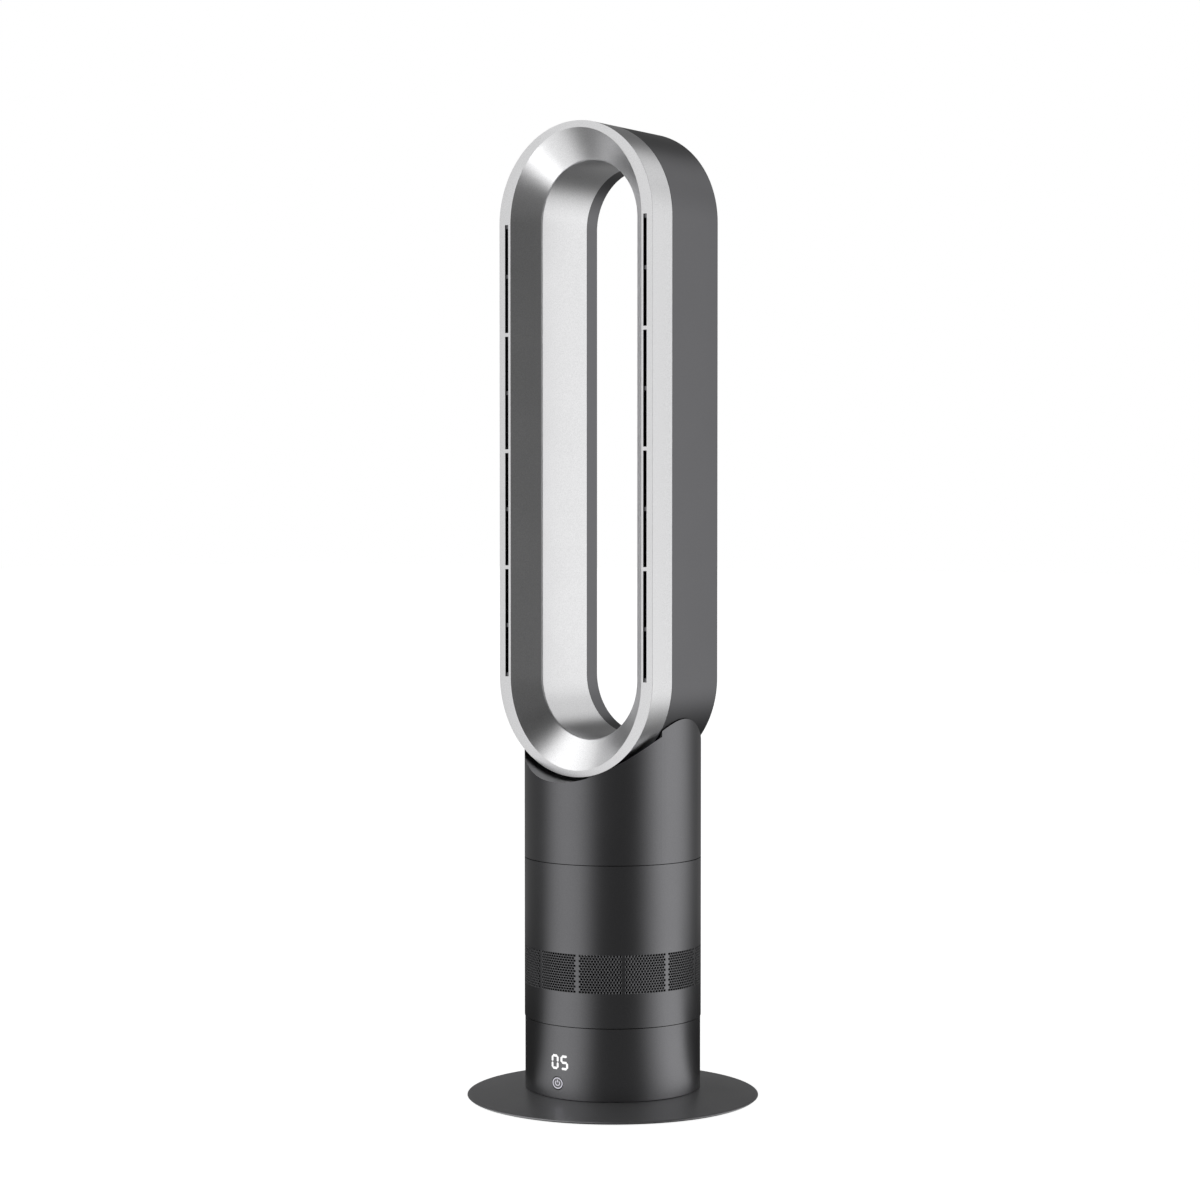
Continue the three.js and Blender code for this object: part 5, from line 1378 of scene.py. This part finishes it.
class FanStage(bpy.types.Operator):
    """Floor, white surroundings, soft lights and camera"""

    bl_idname = "fan.stage"
    bl_label = "Studio"

    def execute(self, context):
        studio = context.scene.fan_studio
        context.scene.view_settings.view_transform = "Standard"
        self.add_floor(studio)
        self.add_world(context.scene, studio)
        self.add_light(
            "soft_lamp", azimuth=studio.azimuth + radians(-80), distance=1.2, height=2.0, size=1.0,
            power=studio.lamp, aim=0.4, spread=pi,
        )
        self.add_light(
            "low_board", azimuth=studio.azimuth + radians(-18), distance=0.53, height=0.01, size=0.45,
            power=studio.board, aim=0.75, spread=radians(70),
        )
        self.add_camera(context.scene, studio)
        return {"FINISHED"}

    @staticmethod
    def add_floor(studio):
        """Floor that is white to the camera. In the fan's gloss it carries on the softboxes beside the fan."""
        bm = bmesh.new()
        bmesh.ops.create_grid(bm, x_segments=1, y_segments=1, size=20)
        mesh = bpy.data.meshes.new("studio_floor")
        bm.to_mesh(mesh)
        bm.free()
        floor = bpy.data.objects.new("studio_floor", mesh)
        material = bpy.data.materials.new("white_floor")
        material.use_nodes = True
        tree = material.node_tree
        tree.nodes.clear()
        glossy = add_node(tree, "ShaderNodeLightPath").outputs["Is Glossy Ray"]
        place = add_node(tree, "ShaderNodeTexCoord").outputs["Object"]
        away = add_node(tree, "ShaderNodeVectorMath", {0: place}, operation="LENGTH").outputs["Value"]
        level = softboxes(tree, studio, place)
        ahead = add_node(
            tree, "ShaderNodeVectorMath", {0: place, 1: (sin(studio.azimuth), -cos(studio.azimuth), 0)},
            operation="DOT_PRODUCT",
        ).outputs["Value"]
        ahead = add_node(tree, "ShaderNodeMath", {0: ahead, 1: away}, operation="DIVIDE").outputs[0]
        # The floor carries the boards all round from some 1 m off, and close to the fan only in front of it
        fades = ((away, 0.35, 1.3, 0.0), (ahead, -0.25, 0.0, 0.0), (away, 1.1, 0.75, 0.4))
        far, front, near = (
            add_node(
                tree, "ShaderNodeMapRange",
                {"Value": value, "From Min": dark, "From Max": bright, "To Min": least},
                interpolation_type="SMOOTHSTEP",
            ).outputs[0]
            for value, dark, bright, least in fades
        )
        lit = add_node(tree, "ShaderNodeMath", {0: front, 1: near}, operation="MULTIPLY").outputs[0]
        lit = add_node(tree, "ShaderNodeMath", {0: lit, 1: far}, operation="MAXIMUM").outputs[0]
        level = add_node(
            tree, "ShaderNodeMath", {0: level, 1: lit, 2: 0.4 * studio.dark}, operation="MULTIPLY_ADD"
        ).outputs[0]
        boards = add_node(tree, "ShaderNodeEmission", {"Color": (1, 1, 1, 1), "Strength": level}).outputs[0]
        plain = add_node(tree, "ShaderNodeBsdfDiffuse", {"Color": (0.2, 0.2, 0.2, 1)}).outputs[0]
        unseen = add_node(tree, "ShaderNodeMixShader", {0: glossy, 1: plain, 2: boards}).outputs[0]
        soft = add_node(tree, "ShaderNodeBsdfDiffuse", {"Color": (0.35, 0.35, 0.35, 1)}).outputs[0]
        glow = add_node(tree, "ShaderNodeEmission", {"Color": (1, 1, 1, 1), "Strength": 0.93}).outputs[0]
        white = add_node(tree, "ShaderNodeAddShader", {0: soft, 1: glow}).outputs[0]
        surface = add_node(tree, "ShaderNodeMixShader", {0: is_seen(tree), 1: unseen, 2: white}).outputs[0]
        add_node(tree, "ShaderNodeOutputMaterial", {"Surface": surface})
        mesh.materials.append(material)
        bpy.context.scene.collection.objects.link(floor)

    @staticmethod
    def add_world(scene, studio):
        """White for the camera. Round the fan stand softboxes, with dark between them."""
        world = bpy.data.worlds.new("studio")
        scene.world = world
        world.use_nodes = True
        tree = world.node_tree
        tree.nodes.clear()
        way = add_node(tree, "ShaderNodeTexCoord").outputs["Generated"]
        rise = add_node(tree, "ShaderNodeSeparateXYZ", {0: way}).outputs["Z"]
        low = add_node(
            tree, "ShaderNodeMapRange",
            {"Value": rise, "From Min": 0.45, "From Max": 0.8, "To Min": 1.0, "To Max": 0.1},
            interpolation_type="SMOOTHSTEP",
        ).outputs[0]
        level = add_node(
            tree, "ShaderNodeMath", {0: softboxes(tree, studio, way), 1: low}, operation="MULTIPLY"
        ).outputs[0]
        # Round patches: turn from the camera, height, radii at full level and at the edge in degrees, and level
        for turn, tilt, full, reach, strength in (
            (-90, 52, 18, 38, studio.top),
            (118, 40, 6, 26, studio.back),
        ):
            azimuth = studio.azimuth + radians(turn)
            flat = cos(radians(tilt))
            middle = (flat * sin(azimuth), -flat * cos(azimuth), sin(radians(tilt)))
            near = add_node(
                tree, "ShaderNodeVectorMath", {0: way, 1: middle}, operation="DOT_PRODUCT"
            ).outputs["Value"]
            box = add_node(
                tree, "ShaderNodeMapRange",
                {"Value": near, "From Min": cos(radians(reach)), "From Max": cos(radians(full)), "To Max": strength},
                interpolation_type="SMOOTHSTEP",
            ).outputs[0]
            level = add_node(tree, "ShaderNodeMath", {0: level, 1: box}, operation="MAXIMUM").outputs[0]
        strength = add_node(tree, "ShaderNodeMix", {"Factor": is_seen(tree), 2: level, 3: 1.0}).outputs[0]
        sky = add_node(tree, "ShaderNodeBackground", {"Color": (1, 1, 1, 1), "Strength": strength}).outputs[0]
        add_node(tree, "ShaderNodeOutputWorld", {"Surface": sky})

    @staticmethod
    def add_light(name, azimuth, distance, height, size, power, aim, spread):
        """A square area light that looks at a height on the fan's axis."""
        data = bpy.data.lights.new(name, "AREA")
        data.size = size
        data.energy = power
        data.spread = spread
        light = bpy.data.objects.new(name, data)
        light.location = (distance * sin(azimuth), -distance * cos(azimuth), height)
        way = Vector((0, 0, aim)) - light.location
        light.rotation_euler = way.to_track_quat("-Z", "Y").to_euler()
        light.visible_camera = False
        bpy.context.scene.collection.objects.link(light)

    @staticmethod
    def add_camera(scene, studio):
        data = bpy.data.cameras.new("photo_camera")
        data.lens = studio.lens
        data.sensor_width = 36
        camera = bpy.data.objects.new("photo_camera", data)
        azimuth = studio.azimuth
        camera.location = (studio.distance * sin(azimuth), -studio.distance * cos(azimuth), studio.height)
        camera.rotation_euler = (pi / 2 - studio.tilt, 0, azimuth + studio.turn)
        scene.collection.objects.link(camera)
        scene.camera = camera


# ---------------------------------------------------------------- sidebar and running

OPERATORS = (
    FanBaseDisc, FanBaseHousing, FanPowerKey, FanDisplay, FanColumnBody, FanColumnCollar, FanLoopBack,
    FanLoopFront, FanInnerParts, FanStage,
)

SETTINGS = {
    "fan_base": FanBaseSizes,
    "fan_body": FanBodySizes,
    "fan_loop": FanLoopSizes,
    "fan_finishes": FanFinishes,
    "fan_studio": FanStudioSizes,
}


class FAN_PT_pieces(bpy.types.Panel):
    """Lists the fan's pieces and their sizes"""

    bl_idname = "FAN_PT_pieces"
    bl_label = "Tower fan"
    bl_space_type = "VIEW_3D"
    bl_region_type = "UI"
    bl_category = "Tower fan"

    def draw(self, context):
        for operator in OPERATORS:
            self.layout.operator(operator.bl_idname)
        for name, group in SETTINGS.items():
            box = self.layout.box()
            box.label(text=group.__doc__)
            for size in group.__annotations__:
                box.prop(getattr(context.scene, name), size)


CLASSES = (*SETTINGS.values(), *OPERATORS, FAN_PT_pieces)


def register():
    for kind in CLASSES:
        bpy.utils.register_class(kind)
    for name, group in SETTINGS.items():
        setattr(bpy.types.Scene, name, PointerProperty(type=group))


def unregister():
    for name in SETTINGS:
        delattr(bpy.types.Scene, name)
    for kind in reversed(CLASSES):
        bpy.utils.unregister_class(kind)


def main():
    register()
    for operator in OPERATORS:
        getattr(bpy.ops.fan, operator.bl_idname.split(".")[1])()


if __name__ == "__main__":
    main()
